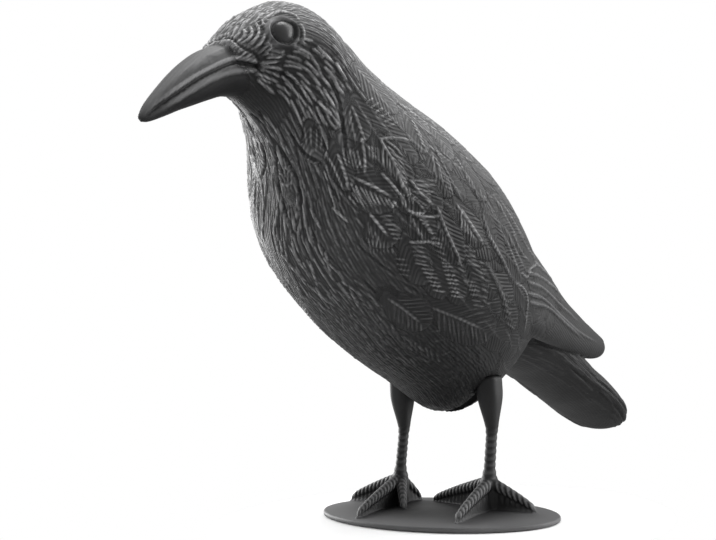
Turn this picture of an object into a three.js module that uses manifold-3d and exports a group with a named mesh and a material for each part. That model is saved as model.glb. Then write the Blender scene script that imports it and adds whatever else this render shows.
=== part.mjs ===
// A plastic crow decoy: a moulded bird that sits on a moulded leg stand.
// Millimetres, +Z up. The beak points to -Y, the bird's left is +X, and the origin is the middle of the
// stand plate's underside.
import * as THREE from "three";
import Module from "manifold-3d";
import { mergeVertices } from "three/addons/utils/BufferGeometryUtils.js";

const wasm = await Module();
wasm.setup();

// Bird, from the beak's tip to the tail's
const BIRD_LENGTH = 408;

// Stand plate, an oval with a rounded rim and a slight crown
const PLATE_LENGTH = 139;
const PLATE_WIDTH = 88;
const PLATE_RIM = 2.4;
const PLATE_CROWN = 1.6;
const RIM_ROUND = 0.9;

// Legs, which lean back up to a straight top, and the bridge that joins their tops inside the bird
const LEG_SPACING = 58;
const LEG_TOP = 72;
const STRAIGHT_TOP = 27;
const ANKLE_HEIGHT = 21;
const ANKLE_SET_BACK = 9.5;
const TOP_SET_BACK = 15.3;
const ANKLE_WIDTH = 9;
const SHANK_WIDTH = 5.9;
const THIGH_WIDTH = 12.4;
const THIGH_DEPTH = 12.4;
const THIGH_LENGTH = 31;
const THIGH_ROUND = 1.6;
const SCUTE_PITCH = 3.4;
const SCUTE_DEPTH = 0.4;
const BRIDGE_DEPTH = 6.5;
const BRIDGE_HEIGHT = 8;

// The slot under the bird that takes the bridge and the pockets that take the thighs: the gaps at their sides
// and at their roof
const SIDE_GAP = 0.6;
const SEAT_GAP = 0.3;

// Toes: a ridge with bars across it that runs down from the ankle to the plate, and the longest toe's reach
const TOE_REACH = 48;
const TOE_BASE_WIDTH = 9;
const TOE_TIP_WIDTH = 4.4;
const TOE_RIDGE_WIDTH = 2;
const TOE_TIP_HEIGHT = 3.2;
const TOE_BAR_PITCH = 4.4;
const TOE_BAR_DEPTH = 0.6;
const TOE_SINK = 1;

// Each toe's turn from straight ahead toward the bird's outside, in degrees, and its share of the reach
const TOES = {
  left: [
    { turn: 92, share: 0.54 },
    { turn: 5, share: 0.82 },
    { turn: -106, share: 1 },
    { turn: -160, share: 0.3 },
  ],
  right: [
    { turn: 90, share: 0.78 },
    { turn: -7, share: 0.98 },
    { turn: -39, share: 0.56 },
    { turn: -165, share: 0.3 },
  ],
};

// The bird is drawn on a grid, in x to its left, f forward and z up, and takes its size from its length.
// Each station gives the top and the bottom of one section on the middle plane, half its width, how far
// its widest level lies above its middle, as a share of half its height, and how much its lower half
// narrows to a keel. The tail's end comes first.
const BODY = [
  { top: [-152, 90], bottom: [-142, 68], half: 16 },
  { top: [-128, 110], bottom: [-104, 76], half: 27, waist: 0.1 },
  { top: [-100, 131], bottom: [-62, 83], half: 34, waist: 0.1, keel: 0.1 },
  { top: [-70, 154], bottom: [-20, 53.4], half: 46, waist: 0.05, keel: 0.2 },
  { top: [-42, 172], bottom: [9, 68], half: 57, waist: 0.05 },
  { top: [-8, 193.5], bottom: [42, 86], half: 62.5, waist: 0.05 },
  { top: [26, 210], bottom: [65, 103], half: 60 },
  { top: [52, 219.8], bottom: [86.5, 120.5], half: 52.5 },
  { top: [72, 228.3], bottom: [98.5, 137.5], half: 44.5, waist: 0.1 },
  { top: [88, 239.5], bottom: [101.5, 156.5], half: 37.5, waist: 0.15, keel: 0.15 },
  { top: [102, 247.5], bottom: [107, 174.5], half: 33, waist: 0.2, keel: 0.3 },
  { top: [115, 248], bottom: [116.5, 189.5], half: 28, waist: 0.2, keel: 0.35 },
  { top: [128, 240.5], bottom: [128.5, 197.5], half: 22.5, waist: 0.15, keel: 0.35 },
  { top: [138.5, 231], bottom: [136, 200.5], half: 17, waist: 0.1, keel: 0.2 },
  { top: [147.5, 219.5], bottom: [142, 203], half: 12 },
];

// Beak, from inside the head to its tip
const BEAK = [
  { top: [138, 223], bottom: [132, 200], half: 12 },
  { top: [149.5, 218], bottom: [141, 198.5], half: 11.4 },
  { top: [156.5, 214], bottom: [150, 194.5], half: 10 },
  { top: [163.5, 208.2], bottom: [159, 190], half: 8.6 },
  { top: [170.4, 201.2], bottom: [166, 186.5], half: 7 },
  { top: [177.3, 193], bottom: [173, 182.6], half: 5.2 },
  { top: [182.8, 185.8], bottom: [180, 179], half: 3.3 },
  { top: [186, 179.8], bottom: [184.4, 177.8], half: 1.2 },
];

// Tail, from inside the body to its tip
const TAIL = [
  { top: [-66, 116], bottom: [-60, 84], half: 22 },
  { top: [-100, 109], bottom: [-92, 75], half: 27 },
  { top: [-130, 95.5], bottom: [-122, 66], half: 27.5 },
  { top: [-158, 81], bottom: [-152, 54], half: 27.5 },
  { top: [-182, 68], bottom: [-178, 44], half: 28 },
  { top: [-202, 56.5], bottom: [-199, 34.5], half: 26.5 },
  { top: [-215, 47.5], bottom: [-213.5, 28.5], half: 21 },
  { top: [-222, 40.5], bottom: [-221, 30], half: 10.5 },
];

// Left wing, from inside the shoulder to its tip: the top and bottom edges also stand off the middle plane
const WING = [
  { top: [10, 172], bottom: [26, 112], half: 9, topX: 30, bottomX: 44 },
  { top: [-34, 160], bottom: [-20, 98], half: 10, topX: 32, bottomX: 44 },
  { top: [-74, 141], bottom: [-62, 90], half: 10.5, topX: 27, bottomX: 40 },
  { top: [-112, 122], bottom: [-102, 86], half: 10, topX: 20, bottomX: 33 },
  { top: [-144, 110.5], bottom: [-136, 82], half: 9.5, topX: 15, bottomX: 27 },
  { top: [-168, 101.5], bottom: [-162, 80], half: 8.5, topX: 13, bottomX: 22 },
  { top: [-184, 95], bottom: [-181, 80.5], half: 7, topX: 13, bottomX: 19 },
  { top: [-190.5, 90], bottom: [-189.5, 84], half: 3.5, topX: 14, bottomX: 16.5 },
];

// Where the drawn bird meets its seat, the middle of the slot's roof
const DRAWN_SEAT = { f: -15.3, z: 72.3 };

// Eye: a dome inside a raised lid, at a station and an angle of the body, that looks out and a little
// forward. All of it is sunk to the same depth.
const EYE = { station: 11.86, angle: 83.75, look: [0.93, -0.34, 0.12], sink: 5, sides: 14 };
const EYE_BALL = { radius: 5, rise: 2.8, steps: 4 };
const EYE_LID = { outer: 6.8, inner: 5.5, rise: 0.7, fall: 0.5 };

// Mouth line, a groove along each side of the beak, drawn as f and z
const MOUTH = {
  line: [[136, 209.6], [146, 209], [154, 204.3], [162.5, 198.6], [170, 192.2], [178.5, 185.1]],
  depth: 0.9,
  steps: 10,
};

// Facets of the lofted forms: rings along and sides around
const FACETS = {
  body: { rings: 26, sides: 24 },
  beak: { rings: 11, sides: 14 },
  tail: { rings: 11, sides: 14 },
  wing: { rings: 13, sides: 12 },
};
const PLATE_SIDES = 36;
const LEG_SIDES = 10;

// Shares that shape the stand: the crown's steps and its inset, the thigh's swelling as it rises and how
// square it is, from 1 for round, how a toe's ridge arches, from 1 for straight, and where its flank bends
// and how wide it still is there
const CROWN_RISES = [0.65, 1];
const CROWN_INSET = 0.38;
const THIGH_SWELL = [
  { rise: 0.13, swell: 0.16 },
  { rise: 0.36, swell: 0.5 },
  { rise: 0.53, swell: 0.72 },
  { rise: 0.7, swell: 1 },
  { rise: 1, swell: 1 },
];
const THIGH_POWER = 0.6;
const TOE_ARCH = 0.8;
const FLANK_LEVEL = 0.55;
const FLANK_HALF = 0.84;

// Feathers lie in rows across the body: the row's station, the first and last angle from the back's middle
// line, how many there are, and their length and width
const COVERT_ROWS = [
  { station: 8.4, from: 28, to: 112, count: 4, length: 25, width: 14 },
  { station: 7.6, from: 18, to: 104, count: 4, length: 29, width: 16 },
  { station: 6.9, from: 30, to: 122, count: 5, length: 33, width: 18 },
  { station: 6.1, from: 20, to: 112, count: 5, length: 37, width: 19 },
  { station: 5.3, from: 30, to: 122, count: 5, length: 38, width: 19 },
  { station: 4.4, from: 20, to: 110, count: 5, length: 38, width: 18 },
];
const BREAST_ROWS = [
  { station: 9.6, from: 118, to: 166, count: 2, length: 26, width: 5 },
  { station: 8.4, from: 132, to: 172, count: 2, length: 30, width: 6 },
  { station: 7.2, from: 138, to: 166, count: 2, length: 32, width: 7 },
  { station: 6.0, from: 142, to: 172, count: 2, length: 32, width: 8 },
];
const FLIGHT_ROWS = [
  { station: 2.2, angle: 60, length: 118, width: 9 },
  { station: 2.5, angle: 92, length: 104, width: 9 },
  { station: 2.8, angle: 120, length: 84, width: 8 },
];
const TAIL_ROWS = [
  { station: 2.4, angle: 0, length: 62, width: 13 },
  { station: 2.3, angle: 52, length: 60, width: 11 },
];

// How far a feather's tip and a strand's tip stand off, what part of that its root does, the shaft's height
// over the feather, how deep its underside is sunk and how much narrower that is
const FEATHER = { lift: 1.3, strandLift: 0.9, rootShare: 0.35, shaft: 0.5, sink: 2, footShare: 0.9 };

// Outline of a feather on its left side, as shares of its length and half its width, and its shaft's top
const LEAF = [[0.22, 0.85], [0.74, 0.9]];
const SHAFT = 0.5;

const birdScale = BIRD_LENGTH / (BEAK.at(-1).top[0] - TAIL.at(-1).top[0]);
const seat = { f: -TOP_SET_BACK, z: LEG_TOP + SEAT_GAP };

// A drawn point of the bird in the part's own frame
function birdPoint(x, f, z) {
  return new THREE.Vector3(
    x * birdScale,
    -(seat.f + (f - DRAWN_SEAT.f) * birdScale),
    seat.z + (z - DRAWN_SEAT.z) * birdScale,
  );
}

// Value of a curve through evenly numbered values, at t from the first to the last
function through(values, t) {
  const last = values.length - 1;
  const i = Math.min(Math.floor(t), last - 1);
  const u = t - i;
  const [b, c] = [values[i], values[i + 1]];
  const a = values[i - 1] ?? 2 * b - c;
  const d = values[i + 2] ?? 2 * c - b;
  return b + 0.5 * u * (c - a + u * (2 * a - 5 * b + 4 * c - d + u * (3 * (b - c) + d - a)));
}

// A surface lofted through stations: place(station, angle) gives its point, with the angle from the top
// toward the left
function loftedSurface(stations) {
  const column = (pick) => stations.map(pick);
  const columns = {
    topX: column((s) => s.topX ?? 0),
    topF: column((s) => s.top[0]),
    topZ: column((s) => s.top[1]),
    bottomX: column((s) => s.bottomX ?? 0),
    bottomF: column((s) => s.bottom[0]),
    bottomZ: column((s) => s.bottom[1]),
    half: column((s) => s.half),
    waist: column((s) => s.waist ?? 0),
    keel: column((s) => s.keel ?? 0),
  };
  function place(station, angle) {
    const v = {};
    for (const [name, values] of Object.entries(columns)) v[name] = through(values, station);
    const up = new THREE.Vector3(v.topX - v.bottomX, v.topF - v.bottomF, v.topZ - v.bottomZ);
    up.multiplyScalar(0.5);
    const across = new THREE.Vector3(up.z, 0, -up.x).normalize();
    const rise = Math.cos(angle);
    const level = rise > 0 ? v.waist + (1 - v.waist) * rise : v.waist + (1 + v.waist) * rise;
    const middle = new THREE.Vector3(v.topX, v.topF, v.topZ).sub(up);
    const side = v.half * Math.sin(angle) * (1 - v.keel * Math.max(0, -rise));
    const p = middle.addScaledVector(up, level).addScaledVector(across, side);
    return birdPoint(p.x, p.y, p.z);
  }
  return { place, last: stations.length - 1 };
}

// Signed volume of an indexed geometry, negative when its faces point in
function signedVolume(geometry) {
  const position = geometry.attributes.position;
  const corners = [0, 1, 2].map(() => new THREE.Vector3());
  let sum = 0;
  for (let i = 0; i < geometry.index.count; i += 3) {
    corners.forEach((c, k) => c.fromBufferAttribute(position, geometry.index.getX(i + k)));
    sum += corners[0].dot(corners[1].cross(corners[2])) / 6;
  }
  return sum;
}

// A closed geometry as a solid with its faces pointing out
function solid(geometry) {
  const bare = geometry.clone();
  bare.deleteAttribute("normal");
  bare.deleteAttribute("uv");
  const merged = mergeVertices(bare, 1e-4);
  const triVerts = new Uint32Array(merged.index.array);
  if (signedVolume(merged) < 0) triVerts.reverse();
  const vertProperties = new Float32Array(merged.attributes.position.array);
  return new wasm.Manifold(new wasm.Mesh({ numProp: 3, vertProperties, triVerts }));
}

// A closed skin over rings of points that all have the same count, with a fan at each end
function skin(rings) {
  const sides = rings[0].length;
  const points = rings.flat();
  const index = [];
  for (let r = 0; r < rings.length - 1; r++) {
    for (let s = 0; s < sides; s++) {
      const [a, b] = [r * sides + s, r * sides + ((s + 1) % sides)];
      index.push(a, b, b + sides, a, b + sides, a + sides);
    }
  }
  for (const [ring, first] of [[rings[0], 0], [rings[rings.length - 1], points.length - sides]]) {
    const hub = points.length;
    points.push(ring.reduce((sum, p) => sum.add(p), new THREE.Vector3()).divideScalar(sides));
    for (let s = 0; s < sides; s++) {
      const [a, b] = [first + s, first + ((s + 1) % sides)];
      if (first === 0) index.push(a, hub, b);
      else index.push(b, hub, a);
    }
  }
  return new THREE.BufferGeometry().setFromPoints(points).setIndex(index);
}

function loft(surface, { rings, sides }) {
  const list = [];
  for (let r = 0; r < rings; r++) {
    const station = (surface.last * r) / (rings - 1);
    const ring = [];
    for (let s = 0; s < sides; s++) ring.push(surface.place(station, (2 * Math.PI * s) / sides));
    list.push(ring);
  }
  return skin(list);
}

function mirrored(geometry) {
  return geometry.clone().applyMatrix4(new THREE.Matrix4().makeScale(-1, 1, 1));
}

// A point of a surface that is moved s along the feathers' run, t across it and h outwards, all in mm
function offsetPoint(surface, station, angle, s, t, h) {
  const step = 1e-3;
  const here = surface.place(station, angle);
  const along = surface.place(station - step, angle).sub(here).divideScalar(step);
  const round = surface.place(station, angle + step).sub(here).divideScalar(step);
  const at = Math.max(station - s / along.length(), 0);
  const turn = angle + t / round.length();
  const spot = surface.place(at, turn);
  const forward = surface.place(at + step, turn).sub(spot);
  const beside = surface.place(at, turn + step).sub(spot);
  return spot.addScaledVector(beside.cross(forward).normalize(), h);
}

// A feather: a leaf that lies on a surface, thin at its root and lifted at its tip, with a raised shaft
function feather(surface, { station, angle, length, width, lift }) {
  const outline = [[0, 0]];
  for (const [s, t] of LEAF) outline.push([s, t]);
  outline.push([1, 0]);
  for (const [s, t] of [...LEAF].reverse()) outline.push([s, -t]);
  const turn = THREE.MathUtils.degToRad(angle);
  const put = (s, t, h) =>
    offsetPoint(surface, station, turn, s * length * birdScale, (t * width * birdScale) / 2, h * birdScale);
  const edge = (s) => lift * THREE.MathUtils.lerp(FEATHER.rootShare, 1, s);
  const count = outline.length;
  const points = outline.map(([s, t]) => put(s, t * FEATHER.footShare, -FEATHER.sink));
  points.push(...outline.map(([s, t]) => put(s, t, edge(s))));
  points.push(put(SHAFT, 0, edge(SHAFT) + FEATHER.shaft));
  const shaft = points.length - 1;
  const index = [];
  for (let i = 0; i < count; i++) {
    const j = (i + 1) % count;
    index.push(i, j, count + j, i, count + j, count + i);
    index.push(count + i, count + j, shaft);
  }
  for (let i = 1; i < count - 1; i++) index.push(0, i + 1, i);
  return new THREE.BufferGeometry().setFromPoints(points).setIndex(index);
}

function featherRows(surface, rows, lift) {
  const list = [];
  for (const row of rows) {
    for (let i = 0; i < row.count; i++) {
      const angle = row.from + ((row.to - row.from) * i) / (row.count - 1);
      list.push(feather(surface, { ...row, angle, lift }));
    }
  }
  return list;
}

// Eye dome and lid, on the body's surface
function eyeForms(surface) {
  const middle = surface.place(EYE.station, THREE.MathUtils.degToRad(EYE.angle));
  const look = new THREE.Vector3(...EYE.look).normalize();
  const turn = new THREE.Quaternion().setFromUnitVectors(new THREE.Vector3(0, 1, 0), look);
  const turned = (points) => {
    const profile = points.map(([r, h]) => new THREE.Vector2(r * birdScale, h * birdScale));
    const form = new THREE.LatheGeometry(profile, EYE.sides);
    return form.applyQuaternion(turn).translate(middle.x, middle.y, middle.z);
  };
  const { radius, rise, steps } = EYE_BALL;
  const dome = [];
  for (let i = 0; i < steps; i++) {
    const a = (i / steps) * (Math.PI / 2);
    dome.push([radius * Math.cos(a), rise * Math.sin(a)]);
  }
  const { outer, inner } = EYE_LID;
  const crest = [[outer, -EYE_LID.fall], [(outer + inner) / 2, EYE_LID.rise], [inner, -EYE_LID.fall]];
  return [
    turned([[0, -EYE.sink], [radius, -EYE.sink], ...dome, [0, rise]]),
    turned([[0, -EYE.sink], [outer, -EYE.sink], ...crest, [0, -EYE_LID.fall]]),
  ];
}

// Groove cutter along the mouth line on the left side of the beak
function mouthCutter(surface) {
  const { line, depth, steps } = MOUTH;
  const rings = [];
  for (let i = 0; i <= steps; i++) {
    const t = ((line.length - 1) * i) / steps;
    const f = through(line.map((p) => p[0]), t);
    const z = through(line.map((p) => p[1]), t);
    const middle = birdPoint(beakSide(surface, f, z), f, z);
    const reach = depth * birdScale;
    rings.push([[-reach, 0], [reach, -reach], [reach, reach]].map(([x, up]) =>
      middle.clone().add(new THREE.Vector3(x, 0, up))));
  }
  return skin(rings);
}

// Half width of the beak's surface at a drawn point of its side
function beakSide(surface, f, z) {
  const target = birdPoint(0, f, z);
  const [alongCount, roundCount] = [60, 24];
  let best = { distance: Infinity, x: 0 };
  for (let i = 0; i <= alongCount; i++) {
    for (let j = 1; j < roundCount; j++) {
      const p = surface.place((surface.last * i) / alongCount, (Math.PI * j) / roundCount);
      const distance = Math.hypot(p.y - target.y, p.z - target.z);
      if (distance < best.distance) best = { distance, x: p.x / birdScale };
    }
  }
  return best.x;
}

function meshOf(manifold, name, material) {
  const mesh = manifold.getMesh();
  const geometry = new THREE.BufferGeometry();
  geometry.setAttribute("position", new THREE.BufferAttribute(new Float32Array(mesh.vertProperties), 3));
  geometry.setIndex(new THREE.BufferAttribute(new Uint32Array(mesh.triVerts), 1));
  geometry.computeVertexNormals();
  const result = new THREE.Mesh(geometry, material);
  result.name = name;
  return result;
}

function birdSolid() {
  const surfaces = {
    body: loftedSurface(BODY),
    beak: loftedSurface(BEAK),
    tail: loftedSurface(TAIL),
    wing: loftedSurface(WING),
  };
  const wing = loft(surfaces.wing, FACETS.wing);
  const centre = [
    loft(surfaces.body, FACETS.body),
    loft(surfaces.beak, FACETS.beak),
    loft(surfaces.tail, FACETS.tail),
    feather(surfaces.tail, { ...TAIL_ROWS[0], lift: FEATHER.lift }),
  ];
  const left = [
    wing,
    ...eyeForms(surfaces.body),
    ...featherRows(surfaces.body, COVERT_ROWS, FEATHER.lift),
    ...featherRows(surfaces.body, BREAST_ROWS, FEATHER.strandLift),
    ...FLIGHT_ROWS.map((row) => feather(surfaces.wing, { ...row, lift: FEATHER.lift })),
    feather(surfaces.tail, { ...TAIL_ROWS[1], lift: FEATHER.lift }),
  ];
  let bird = solid(centre[0]);
  for (const form of centre.slice(1)) bird = bird.add(solid(form));
  for (const form of left) bird = bird.add(solid(form)).add(solid(mirrored(form)));
  const groove = mouthCutter(surfaces.beak);
  for (const cutter of [groove, mirrored(groove), ...socketBoxes()]) bird = bird.subtract(solid(cutter));
  return bird;
}

// The slot across the bird's belly for the bridge, and a pocket for each thigh, all open downwards
function socketBoxes() {
  const height = 2 * LEG_TOP;
  const box = (x, length, depth) =>
    new THREE.BoxGeometry(length, depth, height).translate(x, TOP_SET_BACK, seat.z - height / 2);
  const gaps = 2 * SIDE_GAP;
  const pocketMiddle = (LEG_SPACING + THIGH_WIDTH) / 2;
  const pockets = [1, -1].map((side) =>
    box(side * pocketMiddle, 2 * THIGH_WIDTH + gaps, THIGH_DEPTH + gaps));
  return [box(0, LEG_SPACING, BRIDGE_DEPTH + gaps), ...pockets];
}

// The plate's profile, as inset from its edge and height: the rounded rim, then the crown
function plateForm() {
  const top = PLATE_RIM;
  const r = RIM_ROUND;
  const bevel = r * (1 - Math.SQRT1_2);
  const profile = [[r, 0], [bevel, bevel], [0, r], [0, top - r], [bevel, top - bevel], [r, top]];
  for (const rise of CROWN_RISES) {
    profile.push([PLATE_WIDTH * CROWN_INSET * rise ** 2, top + PLATE_CROWN * rise]);
  }
  const rings = profile.map(([inset, z]) => {
    const ring = [];
    for (let s = 0; s < PLATE_SIDES; s++) {
      const a = (2 * Math.PI * s) / PLATE_SIDES;
      const x = (PLATE_LENGTH / 2 - inset) * Math.cos(a);
      ring.push(new THREE.Vector3(x, (PLATE_WIDTH / 2 - inset) * Math.sin(a), z));
    }
    return ring;
  });
  return skin(rings);
}

// One leg, with the ring-like scutes of its shank and a squared thigh that widens upwards
function legForm(x) {
  const thighFoot = LEG_TOP - THIGH_LENGTH;
  const levels = [
    { z: PLATE_RIM - TOE_SINK, width: ANKLE_WIDTH },
    { z: ANKLE_HEIGHT, width: ANKLE_WIDTH },
  ];
  const scutes = Math.max(2, Math.round((thighFoot - ANKLE_HEIGHT - SCUTE_PITCH) / SCUTE_PITCH));
  const pitch = (thighFoot - ANKLE_HEIGHT) / (scutes + 1);
  for (let i = 0; i < 2 * scutes; i++) {
    const z = ANKLE_HEIGHT + pitch * (1 + i / 2);
    levels.push({ z, width: SHANK_WIDTH + (i % 2 ? SCUTE_DEPTH : -SCUTE_DEPTH) });
  }
  const straight = THIGH_LENGTH - THIGH_ROUND;
  for (const { rise, swell } of THIGH_SWELL) {
    const width = THREE.MathUtils.lerp(SHANK_WIDTH, THIGH_WIDTH, swell);
    levels.push({ z: thighFoot + straight * rise, width, square: swell });
  }
  for (const share of [0.5, 1]) {
    const inset = THIGH_ROUND * (1 - Math.sqrt(1 - share ** 2));
    levels.push({ z: LEG_TOP - THIGH_ROUND * (1 - share), width: THIGH_WIDTH - 2 * inset, square: 1 });
  }
  const lean = LEG_TOP - STRAIGHT_TOP - ANKLE_HEIGHT;
  const rings = levels.map(({ z, width, square = 0 }) => {
    const share = THREE.MathUtils.clamp((z - ANKLE_HEIGHT) / lean, 0, 1);
    const y = THREE.MathUtils.lerp(ANKLE_SET_BACK, TOP_SET_BACK, share);
    const depth = width * THREE.MathUtils.lerp(1, THIGH_DEPTH / THIGH_WIDTH, square);
    const power = THREE.MathUtils.lerp(1, THIGH_POWER, square);
    const round = (v) => Math.sign(v) * Math.abs(v) ** power;
    const ring = [];
    for (let s = 0; s < LEG_SIDES; s++) {
      const a = (2 * Math.PI * (s + 0.5)) / LEG_SIDES;
      const across = (width / 2) * round(Math.cos(a));
      const back = (depth / 2) * round(Math.sin(a));
      ring.push(new THREE.Vector3(x + across, y + back, z));
    }
    return ring;
  });
  return skin(rings);
}

// One toe from the ankle: a roof-like ridge with bars across it, between notches
function toeForm(x, side, toe) {
  const a = THREE.MathUtils.degToRad(toe.turn);
  const ahead = new THREE.Vector3(side * Math.sin(a), -Math.cos(a), 0);
  const aside = new THREE.Vector3(-ahead.y, ahead.x, 0);
  const start = new THREE.Vector3(x, ANKLE_SET_BACK, 0);
  const reach = TOE_REACH * toe.share;
  const bars = Math.max(2, Math.round(reach / TOE_BAR_PITCH));
  const base = PLATE_RIM - TOE_SINK;
  const low = PLATE_RIM + TOE_TIP_HEIGHT;
  const rings = [];
  for (let i = 0; i <= 2 * bars; i++) {
    const share = i / (2 * bars);
    const notch = i % 2 && i > 1 ? TOE_BAR_DEPTH : 0;
    const half = THREE.MathUtils.lerp(TOE_BASE_WIDTH, TOE_TIP_WIDTH, share) / 2 - notch;
    const ridge = THREE.MathUtils.lerp(low, ANKLE_HEIGHT, (1 - share) ** TOE_ARCH) - notch;
    const ridgeHalf = Math.min(TOE_RIDGE_WIDTH / 2, half * FLANK_HALF);
    const middle = start.clone().addScaledVector(ahead, reach * share);
    const at = (across, z) => middle.clone().addScaledVector(aside, across).setZ(z);
    const flank = THREE.MathUtils.lerp(base, ridge, FLANK_LEVEL);
    rings.push([
      at(-half, base), at(half, base), at(half * FLANK_HALF, flank),
      at(ridgeHalf, ridge), at(-ridgeHalf, ridge), at(-half * FLANK_HALF, flank),
    ]);
  }
  return skin(rings);
}

function bridgeForm() {
  const box = new THREE.BoxGeometry(LEG_SPACING, BRIDGE_DEPTH, BRIDGE_HEIGHT);
  return box.translate(0, TOP_SET_BACK, LEG_TOP - BRIDGE_HEIGHT / 2);
}

function standSolid() {
  const forms = [bridgeForm()];
  for (const [name, side] of [["left", 1], ["right", -1]]) {
    const x = (side * LEG_SPACING) / 2;
    forms.push(legForm(x), ...TOES[name].map((toe) => toeForm(x, side, toe)));
  }
  let stand = solid(plateForm());
  for (const form of forms) stand = stand.add(solid(form));
  return stand;
}

const birdPlastic = new THREE.MeshStandardMaterial({ color: 0x2c2c2e, roughness: 0.55, metalness: 0 });
const standPlastic = new THREE.MeshStandardMaterial({ color: 0x353537, roughness: 0.5, metalness: 0 });

const decoy = new THREE.Group();
decoy.add(meshOf(birdSolid(), "crow_body", birdPlastic));
decoy.add(meshOf(standSolid(), "leg_stand", standPlastic));

export default decoy;
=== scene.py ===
# A plastic crow decoy on its moulded leg stand: the carved bird and the ringed legs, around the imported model.
# Shapes are worked out in millimetres and made metres at the end. The beak points to -Y, the bird's left is
# +X, and the floor is at z 0.
import math

import bmesh
import bpy
import numpy as np
from mathutils import Matrix, Vector
from mathutils.bvhtree import BVHTree
from mathutils.kdtree import KDTree


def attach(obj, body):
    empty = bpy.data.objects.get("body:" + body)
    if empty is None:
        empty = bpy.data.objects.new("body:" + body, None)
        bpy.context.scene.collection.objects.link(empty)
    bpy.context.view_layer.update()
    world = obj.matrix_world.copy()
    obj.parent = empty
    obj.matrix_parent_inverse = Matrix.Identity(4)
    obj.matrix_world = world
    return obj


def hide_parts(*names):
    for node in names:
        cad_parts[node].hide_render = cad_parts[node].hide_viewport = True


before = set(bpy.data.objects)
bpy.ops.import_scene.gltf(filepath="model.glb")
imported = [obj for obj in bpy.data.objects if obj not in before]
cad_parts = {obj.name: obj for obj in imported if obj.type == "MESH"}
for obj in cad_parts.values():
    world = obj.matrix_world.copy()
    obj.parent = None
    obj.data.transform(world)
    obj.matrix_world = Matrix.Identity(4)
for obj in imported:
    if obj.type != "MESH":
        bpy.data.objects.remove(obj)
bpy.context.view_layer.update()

MM = 0.001
SEED = 7
# The small step that directions and spacings on a form are measured with
TINY = 1e-3
# What takes a line to the bird's left side, which the photograph shows, and to its right side
BOTH_SIDES = (np.ones(3), np.array([-1, 1, 1]))

# Camera: the photograph's frame in pixels, and where it stands in mm and degrees, measured on the bird
FRAME_WIDTH = 716
FRAME_HEIGHT = 540
FOCAL_PIXELS = 844.1
SENSOR = 36
AIM = np.array([0, -0.37, 125])
AIM_PIXEL_OFFSET = (63.18, 15.55)
CAMERA_AZIMUTH = 35.07
CAMERA_ELEVATION = -5.94
CAMERA_DISTANCE = 465.4
CAMERA_ROLL = 3.1

# Sections of the forms, from one end to the other: top f and z, bottom f and z, half width, how far the
# widest level lies above the middle, how much the lower half narrows, and how far the top and the bottom
# stand off the middle plane. f points forward, to the beak.
BODY = [
    (-152, 90, -142, 68, 16, 0, 0, 0, 0),
    (-128, 110, -104, 76, 27, 0.1, 0, 0, 0),
    (-100, 131, -62, 83, 34, 0.1, 0.1, 0, 0),
    (-70, 154, -20, 53.4, 46, 0.05, 0.2, 0, 0),
    (-42, 172, 9, 68, 57, 0.05, 0, 0, 0),
    (-8, 193.5, 42, 86, 62.5, 0.05, 0, 0, 0),
    (26, 210, 65, 103, 60, 0, 0, 0, 0),
    (52, 219.8, 86.5, 120.5, 52.5, 0, 0, 0, 0),
    (72, 228.3, 98.5, 137.5, 44.5, 0.1, 0, 0, 0),
    (88, 239.5, 101.5, 156.5, 37.5, 0.15, 0.15, 0, 0),
    (102, 247.5, 107, 174.5, 33, 0.2, 0.3, 0, 0),
    (115, 248, 116.5, 189.5, 28, 0.2, 0.35, 0, 0),
    (128, 240.5, 128.5, 197.5, 22.5, 0.15, 0.35, 0, 0),
    (138.5, 231, 136, 200.5, 17, 0.1, 0.2, 0, 0),
    (147.5, 219.5, 142, 203, 12, 0, 0, 0, 0),
]
BEAK = [
    (138, 223, 132, 200, 12, 0, 0, 0, 0),
    (149.5, 218, 141, 198.5, 11.4, 0, 0, 0, 0),
    (156.5, 214, 150, 194.5, 10, 0, 0, 0, 0),
    (163.5, 208.2, 159, 190, 8.6, 0, 0, 0, 0),
    (170.4, 201.2, 166, 186.5, 7, 0, 0, 0, 0),
    (177.3, 193, 173, 182.6, 5.2, 0, 0, 0, 0),
    (182.8, 185.8, 180, 179, 3.3, 0, 0, 0, 0),
    (186, 179.8, 184.4, 177.8, 1.2, 0, 0, 0, 0),
]
TAIL = [
    (-66, 116, -60, 84, 22, 0, 0, 0, 0),
    (-100, 109, -92, 75, 27, 0, 0, 0, 0),
    (-130, 95.5, -122, 66, 27.5, 0, 0, 0, 0),
    (-158, 81, -152, 54, 27.5, 0, 0, 0, 0),
    (-182, 68, -178, 44, 28, 0, 0, 0, 0),
    (-202, 56.5, -199, 34.5, 26.5, 0, 0, 0, 0),
    (-215, 47.5, -213.5, 28.5, 21, 0, 0, 0, 0),
    (-222, 40.5, -221, 30, 10.5, 0, 0, 0, 0),
]
WING = [
    (10, 172, 26, 112, 9, 0, 0, 30, 44),
    (-34, 160, -20, 98, 10, 0, 0, 32, 44),
    (-74, 141, -62, 90, 10.5, 0, 0, 27, 40),
    (-112, 122, -102, 86, 10, 0, 0, 20, 33),
    (-144, 110.5, -136, 82, 9.5, 0, 0, 15, 27),
    (-168, 101.5, -162, 80, 8.5, 0, 0, 13, 22),
    (-184, 95, -181, 80.5, 7, 0, 0, 13, 19),
    (-190.5, 90, -189.5, 84, 3.5, 0, 0, 14, 16.5),
]

# Fineness of the meshes in mm, and the most triangles that are kept of them
VOXEL = 0.72
BIRD_TRIANGLES = 194000
STAND_VOXEL = 0.45
STAND_TRIANGLES = 90000
# Rounds of smoothing after the remesh
BIRD_SMOOTHING = 10
STAND_SMOOTHING = 2

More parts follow.
